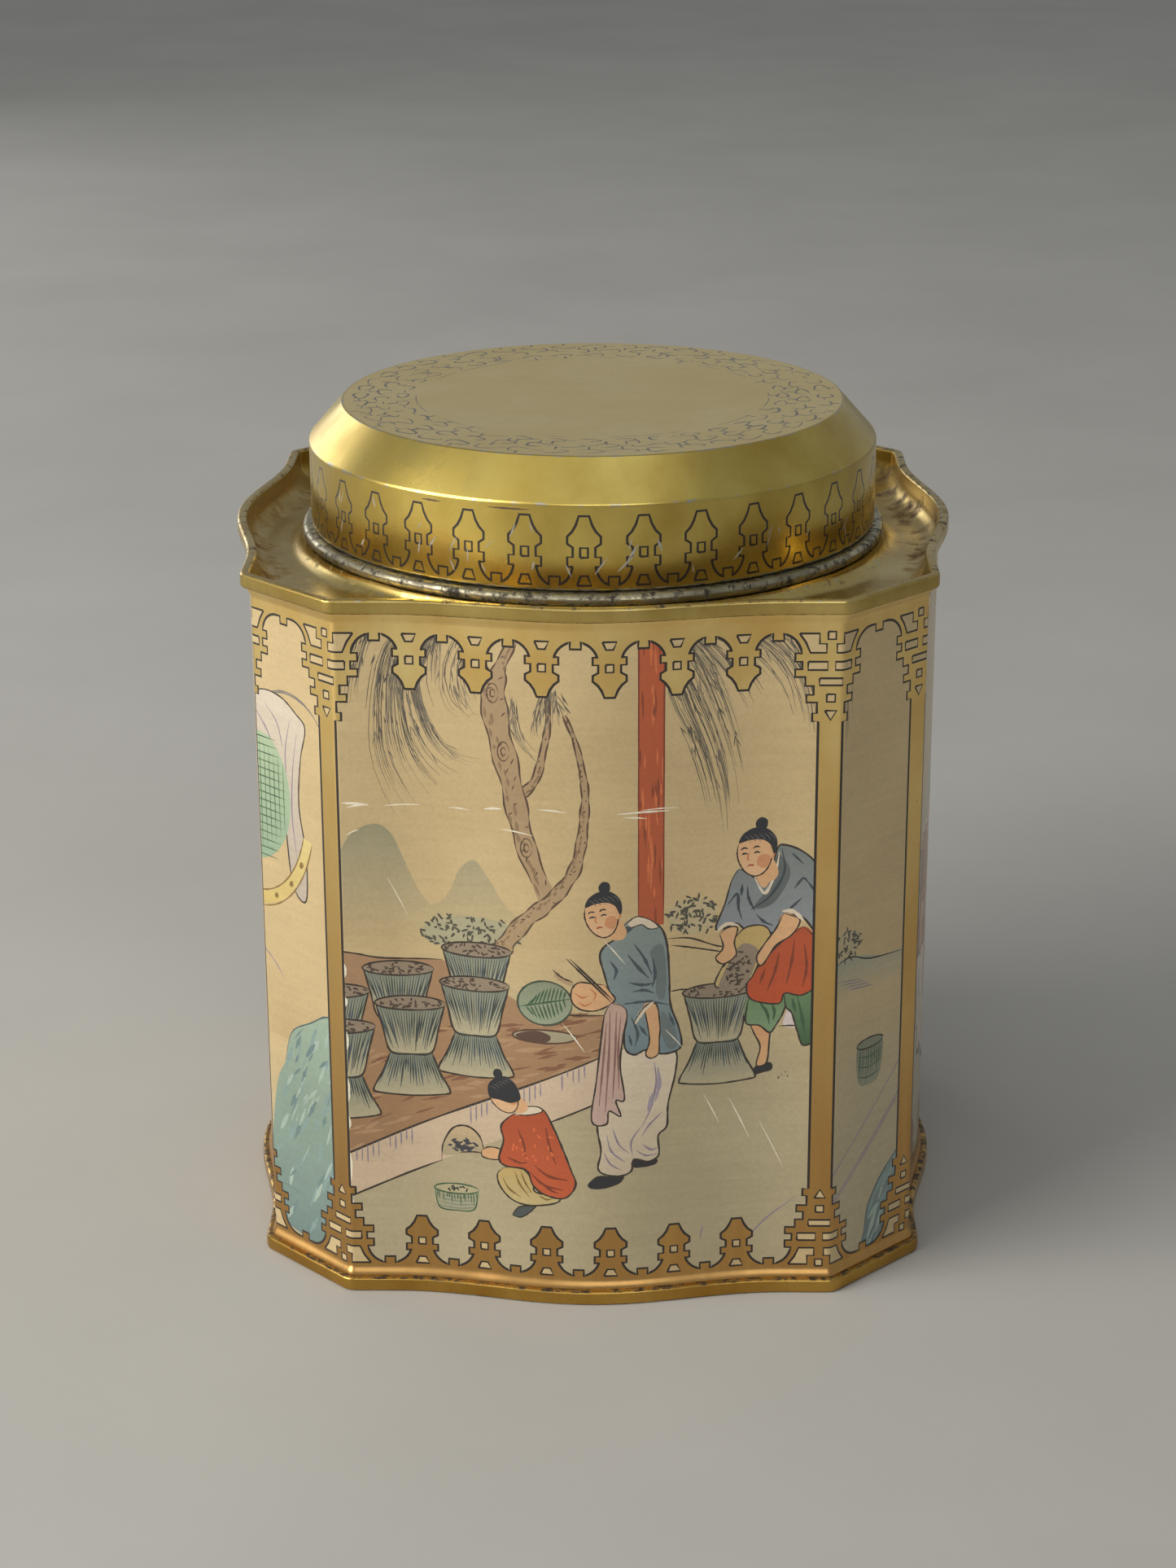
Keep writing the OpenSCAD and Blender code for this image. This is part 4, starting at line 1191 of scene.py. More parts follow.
def cut_after_left(sheet):
    """Part of a figure in a pale robe with a round sieve, above a rock."""
    yard(sheet, 40)
    sheet.place()
    for k in range(2):
        sheet.line(ellipse(0, 92 - k * 0.7, 9.5, 8.2 + k, 20, 170), 0.26, rgb("77706a"), smooth=False)
    sheet.shape([(-10, 97), (-6.4, 99.6), (-1.5, 99.4), (2.2, 97.4), (4.4, 95.4), (3, 90), (2.2, 82),
                 (3.6, 74), (3.2, 66), (0, 68), (-1.4, 78), (-3, 88), (-7, 91), (-10, 92)],
                (rgb("d2c4ae"), rgb("b7a795")), 0.3)
    folds(sheet, [[(0.6, 96), (-0.8, 90), (-0.4, 82)], [(2.2, 94), (1, 88), (0.4, 80), (1.4, 72)],
                  [(-5.4, 97.4), (-2.6, 94.8), (-1.4, 91)], [(-8, 96), (-5.2, 93), (-3.4, 90)]], LILAC,
          0.34)
    sieve = ellipse(-9.5, 82, 9.6, 11.6, -95, 60)
    sheet.fill([np.concatenate([sieve, [(-11, 93), (-11, 70)]])],
               fade(rgb("a9bb97"), rgb("93ab8c"), 92, 72))
    for k in range(16):
        sheet.line([(-11, 71.4 + k * 1.35), (-0.9 - abs(k - 8) * 0.32, 71.4 + k * 1.35)], 0.2, GREEN_DARK,
                   taper=0.02)
    for k in range(8):
        sheet.line([(-9.6 + k * 1.15, 71 + k * 0.75), (-9.6 + k * 1.15, 92.5 - k * 0.6)], 0.2, GREEN_DARK,
                   taper=0.02)
    rim = ellipse(-9.8, 82.4, 14.6, 18.8, -84, -18)
    sheet.fill([brushed(rim, 2.1, taper=0)], fade(rgb("d9c684"), rgb("c9ae63"), 80, 62))
    for reach in (13.6, 15.7):
        sheet.line(ellipse(-9.8, 82.4, reach, reach * 1.288, -84, -18), 0.28, YELLOW_DARK, smooth=False,
                   taper=0.05)
    for start in (-70, -52, -36):
        sheet.line(ellipse(-9.8, 82.4, 14.6, 18.8, start, start + 4), 0.9, YELLOW_DARK, smooth=False)
    sheet.line([(-9.9, 56), (-6, 53.5), (-3.2, 51)], 0.26, LILAC)
    rock(sheet, [(-3.6, 36), (-1.8, 41.5), (3, 44.6), (8.6, 47), (12, 40), (12, 8), (-6, 6), (-8.4, 14),
                 (-7.4, 24), (-5.8, 32)])
    sheet.line([(-9.5, 12.4), (-4, 12.9), (0, 12.2)], 0.26, rgb("6e7f78"))


def cut_after_front(sheet):
    """The edge of the yard: a bucket on the ground, a far bush and a rock."""
    yard(sheet, 56)
    willow_crown(sheet, -10, 112, 2.4, 26, 0.8, 6)
    hills(sheet, [(-10, 57), (-6, 58.5), (-1, 57.4), (4, 56.2), (10, 56.4)], 50, rgb("a5a48a"))
    bush(sheet, -5.6, 60.5, 3.4, 2.8, 46, rgb("bbaa82"))
    sheet.place()
    sheet.line([(-9.5, 57), (-5, 58.2), (0, 56.6), (8, 55.8)], 0.28)
    for step in range(4):
        sheet.line([(-8 + step, 54.6 - step * 0.7), (-2 + step, 53.6 - step * 0.6)], 0.2, LILAC)
    sheet.wash([(-2.6, 41.6), (-2.2, 35.4), (0.4, 34.2), (3, 35.4), (3.6, 41.6), (0.4, 42.6)],
               (rgb("7d8068"), rgb("8f8f76")))
    hatching(sheet, (-2.2, 41), (3.2, 41), 12, (0, -6.4), 0.26, GREEN_DARK)
    for level in (36.2, 38, 39.8):
        sheet.line([(-2.3, level), (0.4, level - 0.6), (3.3, level)], 0.22, GREEN_DARK)
    sheet.line(ellipse(0.5, 41.7, 3.2, 0.9), 0.3, INK, smooth=False, taper=0.02)
    for drift in (0, 0.6, 5.4):
        sheet.line([(-10, 13 + drift), (0, 22 + drift * 1.1), (10, 32 + drift * 1.2)], 0.24, LILAC,
                   taper=0.02)
    rock(sheet, [(0.2, 8), (1.2, 12.4), (4.4, 16.8), (8.8, 20.6), (12, 20), (12, 2), (0, 2)], rgb("8a988c"),
         rgb("4f6268"))


def cut_after_right(sheet):
    """Bamboo and a rock."""
    yard(sheet, 40)
    rng = sheet.rng
    sheet.place()
    for p in (-4.2, 1.0, 4.6):
        for level in np.arange(10, 104, 9.5):
            sheet.line([(p + level * 0.012, level), (p + (level + 9) * 0.012, level + 9)], 0.9,
                       rgb("8fa070"), taper=0.06)
            for _ in range(3 if level > 40 else 0):
                run = np.array([rng.choice([-1, 1]) * rng.uniform(1.5, 3.6), rng.uniform(-2.6, 0.6)])
                spot = np.array([p + level * 0.012, level + rng.uniform(0, 9)])
                sheet.line([spot, spot + run * 0.5 + (0, 0.2), spot + run], 0.6, rgb("5c7350"), taper=0.5)
    rock(sheet, [(-12, 30), (-6, 32), (-1, 26), (5, 22), (12, 20), (12, 4), (-12, 4)])


def cut_after_back(sheet):
    """A far shore, with reeds in front."""
    yard(sheet, 46)
    hills(sheet, [(-12, 66), (-6, 72), (0, 69), (6, 74), (12, 70)], 58)
    sheet.place()
    for level in (52, 48, 43, 37):
        sheet.line([(-9, level), (-2, level - 0.6), (7, level + 0.2)], 0.22, rgb("8d9a94"))
    hatching(sheet, (-8, 12), (8, 12), 34, (1, 19), 0.34, rgb("6f8060"), 3)
    willow_crown(sheet, -2, 114, 6, 30, 2, 30)


# each side with its picture and the picture on the cut after it, from the front round to the right
SCENES = (("front", front_scene, cut_after_front), ("right", right_scene, cut_after_right),
          ("back", back_scene, cut_after_back), ("left", left_scene, cut_after_left))


# ---------------------------------------------------------------- materials
class Shader:
    """A Principled material and short calls for the nodes that feed it."""

    def __init__(self, name, **sockets):
        self.material = bpy.data.materials.new(name)
        self.material.use_nodes = True
        self.tree = self.material.node_tree
        self.surface = self.tree.nodes["Principled BSDF"]
        self.place = self.node("ShaderNodeTexCoord").outputs["Object"]
        self.ink = self.node("ShaderNodeVertexColor", layer_name="ink").outputs["Color"]
        self.set(**sockets)

    def set(self, **sockets):
        """Feeds the surface's sockets, with _ for the spaces in their names."""
        for name, value in sockets.items():
            self.put(self.surface.inputs[name.replace("_", " ")], value)

    def node(self, kind, inputs=None, **settings):
        """A new node with its settings and its inputs' values or links."""
        node = self.tree.nodes.new(kind)
        for name, value in settings.items():
            setattr(node, name, value)
        for key, value in (inputs or {}).items():
            self.put(node.inputs[key], value)
        return node

    def put(self, socket, value):
        """Links a socket, or writes a plain value on it."""
        if isinstance(value, bpy.types.NodeSocket):
            self.tree.links.new(value, socket)
        else:
            socket.default_value = value

    def noise(self, size, detail=3.0, stretch=(1, 1, 1), rough=0.55):
        """Cloudy noise from 0 to 1 with patches of about a size in millimetres."""
        place = self.node("ShaderNodeMapping", {"Vector": self.place, "Scale": stretch}).outputs[0]
        settings = {"Vector": place, "Scale": 1 / (size * MM * 1.6), "Detail": detail, "Roughness": rough}
        return self.node("ShaderNodeTexNoise", settings).outputs["Fac"]

    def spread(self, value, low, high, to_low=0.0, to_high=1.0):
        """A value's range made into another range, and held inside it."""
        return self.node("ShaderNodeMapRange", {"Value": value, "From Min": low, "From Max": high,
                                                "To Min": to_low, "To Max": to_high}).outputs[0]

    def sum(self, a, b, operation="ADD"):
        """Two values added, or put together by another operation."""
        return self.node("ShaderNodeMath", {0: a, 1: b}, operation=operation).outputs[0]

    def mix(self, share, a, b, blend="MIX"):
        """A share of colour b over colour a."""
        node = self.node("ShaderNodeMix", data_type="RGBA", blend_type=blend)
        for socket, value in ((node.inputs[0], share), (node.inputs[6], a), (node.inputs[7], b)):
            self.put(socket, (*value, 1) if isinstance(value, (tuple, np.ndarray)) else value)
        return node.outputs[2]

    def worn(self, channel, size, low, high, detail=5, rough=0.7):
        """Where one channel of the wear painted on the mesh shows, broken up by noise."""
        painted = self.node("ShaderNodeSeparateColor", {"Color": self.ink}).outputs[channel]
        return self.spread(self.sum(painted, self.noise(size, detail, rough=rough)), low, high)

    def height(self):
        """Height above the table in metres."""
        return self.node("ShaderNodeSeparateXYZ", {"Vector": self.place}).outputs["Z"]

    def bump(self, height, strength, distance):
        """Fine relief, its distance in millimetres."""
        normal = self.node("ShaderNodeBump", {"Height": height, "Strength": strength,
                                              "Distance": distance * MM})
        self.set(Normal=normal.outputs[0])


def gold_lacquer(name, gold, deep, roughness=(0.2, 0.36), worn=True, low=None):
    """Transparent gold lacquer over tinplate: cloudy colour, painted darker vertical streaks of reflection,
    dark specks and worn places; low, if given, is a painted shade that darkens the gold towards the table.
    """
    look = Shader(name, Metallic=1.0)
    cloud = look.noise(9, 4)
    grain = look.noise(0.7, 2)
    colour = look.mix(look.spread(cloud, 0.3, 0.72), rgb(deep), rgb(gold))
    # painted shade: the gold is blended towards the darker colour low from 105 mm down to 20 mm above the
    # table, standing in for dark surroundings reflected low on the wall
    if low is not None:
        colour = look.mix(look.spread(look.height(), 0.105, 0.02), colour, rgb(low))
    # painted reflection: tall thin streaks of the darker tone, standing in for the blurred vertical
    # reflections in the gold
    painted_reflection_streaks = look.noise(1.2, 3, stretch=(1, 1, 0.06))
    colour = look.mix(look.spread(painted_reflection_streaks, 0.45, 0.75, 0, 0.22), colour, rgb(deep))
    specks = look.spread(look.noise(0.55, 4, rough=0.7), 0.69, 0.75, 0, 0.75)
    colour = look.mix(specks, colour, rgb("3a2a14"))
    rough = look.spread(cloud, 0.25, 0.75, roughness[1], roughness[0])
    rough = look.sum(rough, look.spread(specks, 0, 1, 0, 0.25))
    if worn:
        bare = look.worn("Green", 1.6, 0.98, 1.1)
        dirt = look.worn("Blue", 1.1, 0.96, 1.12)
        rust = look.worn("Red", 3.2, 0.96, 1.14, rough=0.65)
        rust_tone = look.mix(look.noise(1.5, 3), rgb("4c3010"), rgb("84602a"))
        for place, tone in ((bare, rgb("b5b1a4")), (dirt, rgb("2b2116")), (rust, rust_tone)):
            colour = look.mix(place, colour, tone)
        rough = look.sum(rough, look.spread(rust, 0, 1, 0, 0.4))
        rough = look.sum(rough, look.spread(dirt, 0, 1, 0, 0.3))
        look.set(Metallic=look.spread(look.sum(rust, dirt, "MAXIMUM"), 0, 1, 1, 0.1))
    look.set(Base_Color=colour, Roughness=rough)
    look.bump(look.sum(grain, look.spread(specks, 0, 1, 0, -1)), 0.12, 0.05)
    return look.material


def tinplate(name, tint):
    """Bare tinplate, gone dull: cloudy grey with dark tarnish and rust where the wear is painted."""
    look = Shader(name, Metallic=1.0)
    cloud = look.noise(6, 5, rough=0.65)
    colour = look.mix(look.spread(cloud, 0.32, 0.7), rgb("76705f"), rgb(tint))
    tarnish = look.spread(look.noise(1.4, 5, stretch=(1, 1, 3), rough=0.7), 0.56, 0.7, 0, 0.7)
    colour = look.mix(tarnish, colour, rgb("4b4436"))
    colour = look.mix(look.worn("Green", 2.2, 0.95, 1.15, 4, 0.55), colour, rgb("c9a052"))
    dirt = look.worn("Blue", 1.0, 0.96, 1.12)
    colour = look.mix(dirt, colour, rgb("2a231a"))
    rough = look.spread(cloud, 0.3, 0.7, 0.42, 0.24)
    rough = look.sum(rough, look.spread(look.sum(tarnish, dirt, "MAXIMUM"), 0, 1, 0, 0.3))
    look.set(Base_Color=colour, Roughness=rough, Metallic=look.spread(dirt, 0, 1, 1, 0.3))
    look.bump(look.noise(0.8, 4), 0.15, 0.06)
    return look.material


def printed_ink(name):
    """Lithographed ink under clear varnish: the printed colours, a faint rolled grain and yellowing."""
    look = Shader(name, Specular_IOR_Level=0.5, Coat_Weight=0.6, Coat_Roughness=0.14)
    grain = look.noise(0.9, 3, stretch=(0.12, 0.12, 1.6))
    blot = look.noise(0.35, 3)
    stain = look.noise(14, 4)
    colour = look.mix(look.spread(grain, 0.3, 0.7, 0.0, 0.08), look.ink, rgb("6d5a3c"), "MULTIPLY")
    colour = look.mix(look.spread(blot, 0.35, 0.7, 0.0, 0.10), colour, rgb("4a3a24"), "MULTIPLY")
    colour = look.mix(look.spread(stain, 0.4, 0.75, 0.0, 0.14), colour, rgb("8a6a3a"), "MULTIPLY")
    look.set(Base_Color=colour, Roughness=look.spread(stain, 0.3, 0.7, 0.5, 0.36))
    look.bump(look.noise(1.1, 2), 0.06, 0.05)
    return look.material


def inside_tin(name):
    """The unprinted inside of the wrap: dull tin with a trace of gold lacquer."""
    look = Shader(name, Metallic=1.0)
    cloud = look.noise(12, 5)
    colour = look.mix(look.spread(cloud, 0.3, 0.7), rgb("8f8467"), rgb("b9ab84"))
    colour = look.mix(look.spread(look.noise(1.2, 5, rough=0.7), 0.62, 0.74, 0, 0.6), colour, rgb("57482e"))
    look.set(Base_Color=colour, Roughness=look.spread(cloud, 0.3, 0.7, 0.5, 0.34))
    return look.material


# ---------------------------------------------------------------- the printed wrap
def wrap_panel(name, sheet, middle, half):
    """A stretch of the wrap between two pillars: a closed sheet with its print on the outside."""
    low = np.array([middle - half, CUT_MARGIN])
    high = np.array([middle + half, BODY_HEIGHT - CUT_MARGIN])
    shifted = (wall_arc - PRINT_SHIFT - middle + SIDE_PITCH * 2) % PERIMETER - SIDE_PITCH * 2 + middle
    columns = np.unique(np.round(shifted, 6))
    columns = columns[(columns > low[0] + 0.02) & (columns < high[0] - 0.02)]
    rise = np.linspace(0, 1, 9) * FLARE_HEIGHT + SEAM_HEIGHT
    levels = np.concatenate([rise, BODY_HEIGHT - rise[::-1]])
    spots, triangles, shown = sheet.cut(low, high, columns, levels)
    colours, slots = sheet.colours(spots, triangles, shown)
    outer, normals = on_wall(spots[:, 0], spots[:, 1])
    build = Build()
    build.add(outer, triangles, normals[triangles].reshape(-1, 3), colours, slots)

    foot, top, left, right = (np.flatnonzero(np.abs(spots[:, axis] - corner[axis]) < 1e-4)
                              for axis, corner in ((1, low), (1, high), (0, low), (0, high)))
    across = spots[foot[np.argsort(spots[foot, 0])], 0]
    heights = np.concatenate([low[1:], levels, high[1:]])
    mesh_p, mesh_v = np.meshgrid(across, heights)
    inner, inner_normals = on_wall(mesh_p.ravel(), mesh_v.ravel(), SHEET)
    width = len(across)
    quads = [(k * width + i, (k + 1) * width + i, (k + 1) * width + i + 1, k * width + i + 1)
             for k in range(len(heights) - 1) for i in range(width - 1)]
    build.add(inner, quads, -inner_normals[np.array(quads)].reshape(-1, 3), slots=2)
    for edge, row, order in ((foot, 0, 1), (top, len(heights) - 1, -1)):
        outside = outer[edge[np.argsort(spots[edge, 0])]]
        inside = inner.reshape(len(heights), width, 3)[row]
        rim = [(i, width + i, width + i + 1, i + 1)[::order] for i in range(width - 1)]
        build.add(np.concatenate([outside, inside]), rim, slots=2)
    for edge, column, order in ((left, 0, 1), (right, width - 1, -1)):
        outside = outer[edge[np.argsort(spots[edge, 1])]]
        inside = inner.reshape(len(heights), width, 3)[:, column]
        loop = np.arange(len(outside) + len(inside))
        build.add(np.concatenate([outside, inside[::-1]]), [loop[::order]], slots=2)
    return build.make(name, [printed, gold_print, inner_tin], "canister", "body_wrap")


FADE_TOP, FADE_FOOT = 70, 10           # heights between which the cream grows darker
FIRST_SIDE_SEED, FIRST_CUT_SEED = 40, 60


def printed_panel(name, picture, seed, middle, half, pagodas):
    """One panel of the wrap with its picture and its gold frame."""
    sheet = Print(fade(CREAM, CREAM_LOW, FADE_TOP, FADE_FOOT), seed, middle)
    picture(sheet)
    print_frame(sheet, half, pagodas)
    wrap_panel(name, sheet, middle, half)


# ---------------------------------------------------------------- swept and turned pieces
def end_path(depth, bend):
    """The folded seam and the sunk wall of an end, as inset and height above the seam."""
    hook_inset = 3 * LAYER - PLAY
    return joined([(hook_inset, -SEAM_ROUND - LAYER - HOOK_GAP)], [(hook_inset, -SEAM_HEIGHT)],
                  arc((SEAM_ROUND, SEAM_ROUND - SEAM_HEIGHT), SEAM_ROUND, 270, 180, 6),
                  arc((SEAM_ROUND, -SEAM_ROUND), SEAM_ROUND, 180, 90, 8),
                  arc((END_WALL_INSET - SEAM_ROUND, -SEAM_ROUND), SEAM_ROUND, 90, 0, 8),
                  arc((END_WALL_INSET + bend, bend - depth), bend, 180, 270, 10))


def seam_wear(path):
    """Rust, bare metal and dirt along an end's sheet: worn on the seam's edge, rusty down the sunk wall."""
    crest, low_edge = -0.3, 0.25 - SEAM_HEIGHT
    wear = []
    for inset, height in path:
        if inset > WALL_INSET:
            wear.append((min(0.5, 0.2 - height * 0.1), 0.2, 0.3))
        else:
            bare = 0.4 if height > crest - 0.05 else 0.2
            dirt = 0.47 if height > crest else 0.55 if height < low_edge else 0.3
            wear.append((0.0, bare, dirt))
    return wear


def plan_row(inset, height):
    """A level ring of the wall's outline at a depth inside the seam."""
    outline = plan(inset)[0]
    return np.column_stack([outline, np.full(len(outline), height)])


def top_end():
    """The upper seam, the sunk top and the cove that rises to the neck."""
    sunk = end_path(TOP_DEPTH, TOP_BEND)
    under = other_face(sunk)
    floor = BODY_HEIGHT - TOP_DEPTH
    cove = np.linspace(0, 90, 9)
    rise = RISE_RADIUS - BEAD_RADIUS
    turned = joined([(RISE_RADIUS, floor)],
                    np.stack([RISE_RADIUS - rise * np.sin(np.radians(cove)),
                              LEDGE_Z - (LEDGE_Z - floor) * np.cos(np.radians(cove))], 1),
                    [(HOLE_RADIUS, LEDGE_Z)])
    inward = turned * (-1, 1)
    turned_under = other_face(inward) * (-1, 1)
    bearing = plan(sunk[-1][0])[0]
    ray = bearing / np.linalg.norm(bearing, axis=1, keepdims=True)

    def turned_row(radius, height):
        return np.column_stack([ray * radius, np.full(len(ray), height)])

    shift = np.array([0, BODY_HEIGHT])
    rows = [plan_row(*spot) for spot in sunk + shift]
    rows += [turned_row(*spot) for spot in joined(turned, turned_under[::-1])]
    rows += [plan_row(*spot) for spot in (under + shift)[::-1]]
    upper = seam_wear(sunk) + [(0.36, 0.3, 0.35)] * 3 + [(0.2, 0.4, 0.4)] * (len(turned) - 3)
    lower = [(0.2, 0.6, 0.3)] * len(upper)
    build = Build()
    build.grid(rows, upper + lower, closed_path=True, flip=True)
    return build.make("top_end_sheet", [gold_top], "canister", "top_end")


def bottom_end():
    """The lower seam and the sunk bottom with its raised panel."""
    step = [(PANEL_INSET + PANEL_SLOPE * run, -BOTTOM_DEPTH - PANEL_RISE * rise)
            for run, rise in ((0, 0), (1 / 3, 0.1), (2 / 3, 0.875), (1, 1))]
    path = joined(end_path(BOTTOM_DEPTH, BOTTOM_BEND), step)
    rows = [plan_row(inset, -height) for inset, height in path]
    rows_under = [plan_row(inset, -height) for inset, height in other_face(path)]
    build = Build()
    build.grid(rows, seam_wear(path))
    build.grid(rows_under[::-1], [(0.1, 0.6, 0.2)] * len(path))
    build.grid([rows_under[0], rows[0]], [(0.1, 0.6, 0.3)] * 2)
    count = len(rows[0])
    fan = [(i, (i + 1) % count, count) for i in range(count)]
    panel = BOTTOM_DEPTH + PANEL_RISE
    for edge, height, order in ((rows[-1], panel, -1), (rows_under[-1], panel + SHEET, 1)):
        build.add(np.concatenate([edge, [(0, 0, height)]]), [face[::order] for face in fan])
    return build.make("bottom_end_sheet", [gold_end], "canister", "bottom_end")


def neck_ring():
    """The neck with its rolled mouth and the bead that the lid rests above."""
    foot_z = LEDGE_Z - LAYER
    bead_middle = BEAD_RADIUS - BEAD_ROUND
    path = joined(arc((NECK_RADIUS - MOUTH_ROUND, NECK_TOP_Z - MOUTH_ROUND), MOUTH_ROUND, 290, 0, 20),
                  [(NECK_RADIUS, BEAD_Z + BEAD_ROUND)], arc((bead_middle, BEAD_Z), BEAD_ROUND, 90, -90, 14),
                  [(bead_middle, foot_z)], [(NECK_FOOT_RADIUS, foot_z)])
    under = other_face(path)
    rows = [around(*spot) for spot in path] + [around(*spot) for spot in under[::-1]]
    wear = [(0, 0.25, 0.2) if height > BEAD_Z + BEAD_ROUND else (0, 0.15, 0.5) for _, height in path]
    build = Build()
    build.grid(rows, wear + [(0, 0.3, 0.1)] * len(path), closed_path=True)
    return build.make("neck_sheet", [bare_tin], "canister", "neck_ring")


# ---------------------------------------------------------------- the lid
LID_PLAY = 0.07              # between the neck and the rolled edge of the skirt
LID_ROLL = (LID_RADIUS - NECK_RADIUS - LID_PLAY) / 2
ROLLED_SHEET = 0.26          # a little under the sheet's thickness, so that the roll stays open
LID_SLOPE = math.degrees(math.atan2(LID_TOP_Z - LID_SHOULDER_Z, LID_RADIUS - LID_TOP_RADIUS))
TOP_EDGE_ROUND = 0.5
SHOULDER_ROUND = 0.9
SKIRT_MOTIFS = 32
SKIRT_FIRST = math.radians(-0.8)       # how far round from the front the nearest motif sits
SKIRT_STRETCH = 1.28
SKIRT_BASE_LINE = 0.9                  # height above the lid's lower edge where the motifs stand


def lid_shoulder():
    """The lid's sheet from the edge of its flat top to the start of its skirt, as radius and height."""
    drop = math.radians(LID_SLOPE / 2)
    top_centre = (LID_TOP_RADIUS - TOP_EDGE_ROUND * math.tan(drop), LID_TOP_Z - TOP_EDGE_ROUND)
    lean = math.radians((90 - LID_SLOPE) / 2)
    side_centre = (LID_RADIUS - SHOULDER_ROUND, LID_SHOULDER_Z - SHOULDER_ROUND * math.tan(lean))
    return joined(arc(top_centre, TOP_EDGE_ROUND, 90, 90 - LID_SLOPE, 8),
                  arc(side_centre, SHOULDER_ROUND, 90 - LID_SLOPE, 0, 10))


SCUFF = rgb("a09b8c")
SKIRT_SCUFFS = 90
SKIRT_SCRAPES = 12
EDGE_GAP = 0.05              # strokes on the skirt stay this far inside its edges


def skirt_print(low, high):
    """Black outlines of a ring of pagodas round the skirt from the back, under scuffs and scrapes."""
    sheet = Print(np.zeros(3), 5)
    rng = sheet.rng
    length = 2 * math.pi * LID_RADIUS
    pitch = length / SKIRT_MOTIFS

    def mark(line, width, colour, taper=0.0, spread=None):
        stroke = brushed(line, width, taper, spread)
        stroke[:, 1] = np.clip(stroke[:, 1], low[1] + EDGE_GAP, high[1] - EDGE_GAP)
        sheet.fill([stroke], colour, slot=1)

    reach = PAGODA_SIDE[0][0]
    tower = [(-x, depth) for x, depth in PAGODA_SIDE] + [(x, depth) for x, depth in reversed(PAGODA_SIDE)]
    chain = np.concatenate([tower, arch(reach, pitch - reach)])
    openings = [np.array(outline + outline[:1]) for outline in PAGODA_WINDOWS]
    for k in range(-1, SKIRT_MOTIFS + 1):
        middle = length / 2 + LID_RADIUS * SKIRT_FIRST + (k - SKIRT_MOTIFS // 2) * pitch
        for line in [chain] + openings:
            mark(line * (1, SKIRT_STRETCH) + (middle, LID_BOTTOM_Z + SKIRT_BASE_LINE), FRAME_LINE, OUTLINE)
    for _ in range(SKIRT_SCUFFS):
        start = np.array([rng.uniform(2, length - 4), rng.uniform(low[1] + 1.4, high[1] - 3.5)])
        run = np.array([rng.uniform(-0.5, 1.1), 1]) * rng.uniform(0.8, 3.0)
        mark(start + run * np.linspace(0, 1, 6)[:, None], rng.uniform(0.16, 0.5), SCUFF, 0.5, rng)
    for _ in range(SKIRT_SCRAPES):
        start = np.array([rng.uniform(2, length - 12), high[1] - rng.uniform(0.3, 0.7)])
        run = np.array([rng.uniform(2, 8), 0])
        mark(start + run * np.linspace(0, 1, 12)[:, None], 0.3, BARK_DARK, 0.3, rng)
    return sheet


def lid_skirt():
    """The skirt from the shoulder down to its rolled edge: a closed strip of sheet with its printed ring."""
    cut_z = lid_shoulder()[-1][1]
    roll_centre = (LID_RADIUS - LID_ROLL, LID_BOTTOM_Z + LID_ROLL)
    path = joined([(LID_RADIUS, cut_z)], arc(roll_centre, LID_ROLL, 0, -250, 18))
    under = other_face(path, ROLLED_SHEET)
    low = np.array([0.0, roll_centre[1]])
    high = np.array([2 * math.pi * LID_RADIUS, cut_z])
    columns = np.arange(1, TURN_STATIONS) * high[0] / TURN_STATIONS
    sheet = skirt_print(low, high)
    spots, triangles, shown = sheet.cut(low, high, columns, [])
    colours, slots = sheet.colours(spots, triangles, shown)
    angle = spots[:, 0] / LID_RADIUS + math.pi / 2
    ray = np.stack([np.cos(angle), np.sin(angle), np.zeros(len(angle))], 1)
    corner_wear = np.where(slots[:, None] == 1, 0.0, 1.0).repeat(3, 0) * (0, 0.16, 0.12)
    build = Build()
    build.add(ray * LID_RADIUS + spots[:, 1:] * (0, 0, 1), triangles, ray[triangles].reshape(-1, 3),
              colours + corner_wear, slots)
    rows = [around(*spot) for spot in joined(path[1:], under[::-1], [path[0]])]
    wear = [(0, 0.55, 0.3)] * (len(path) - 1) + [(0, 0.3, 0.1)] * (len(under) + 1)
    build.grid(rows, wear)
    return build.make("lid_skirt", [gold_lid, lid_ink], "lid", "lid")


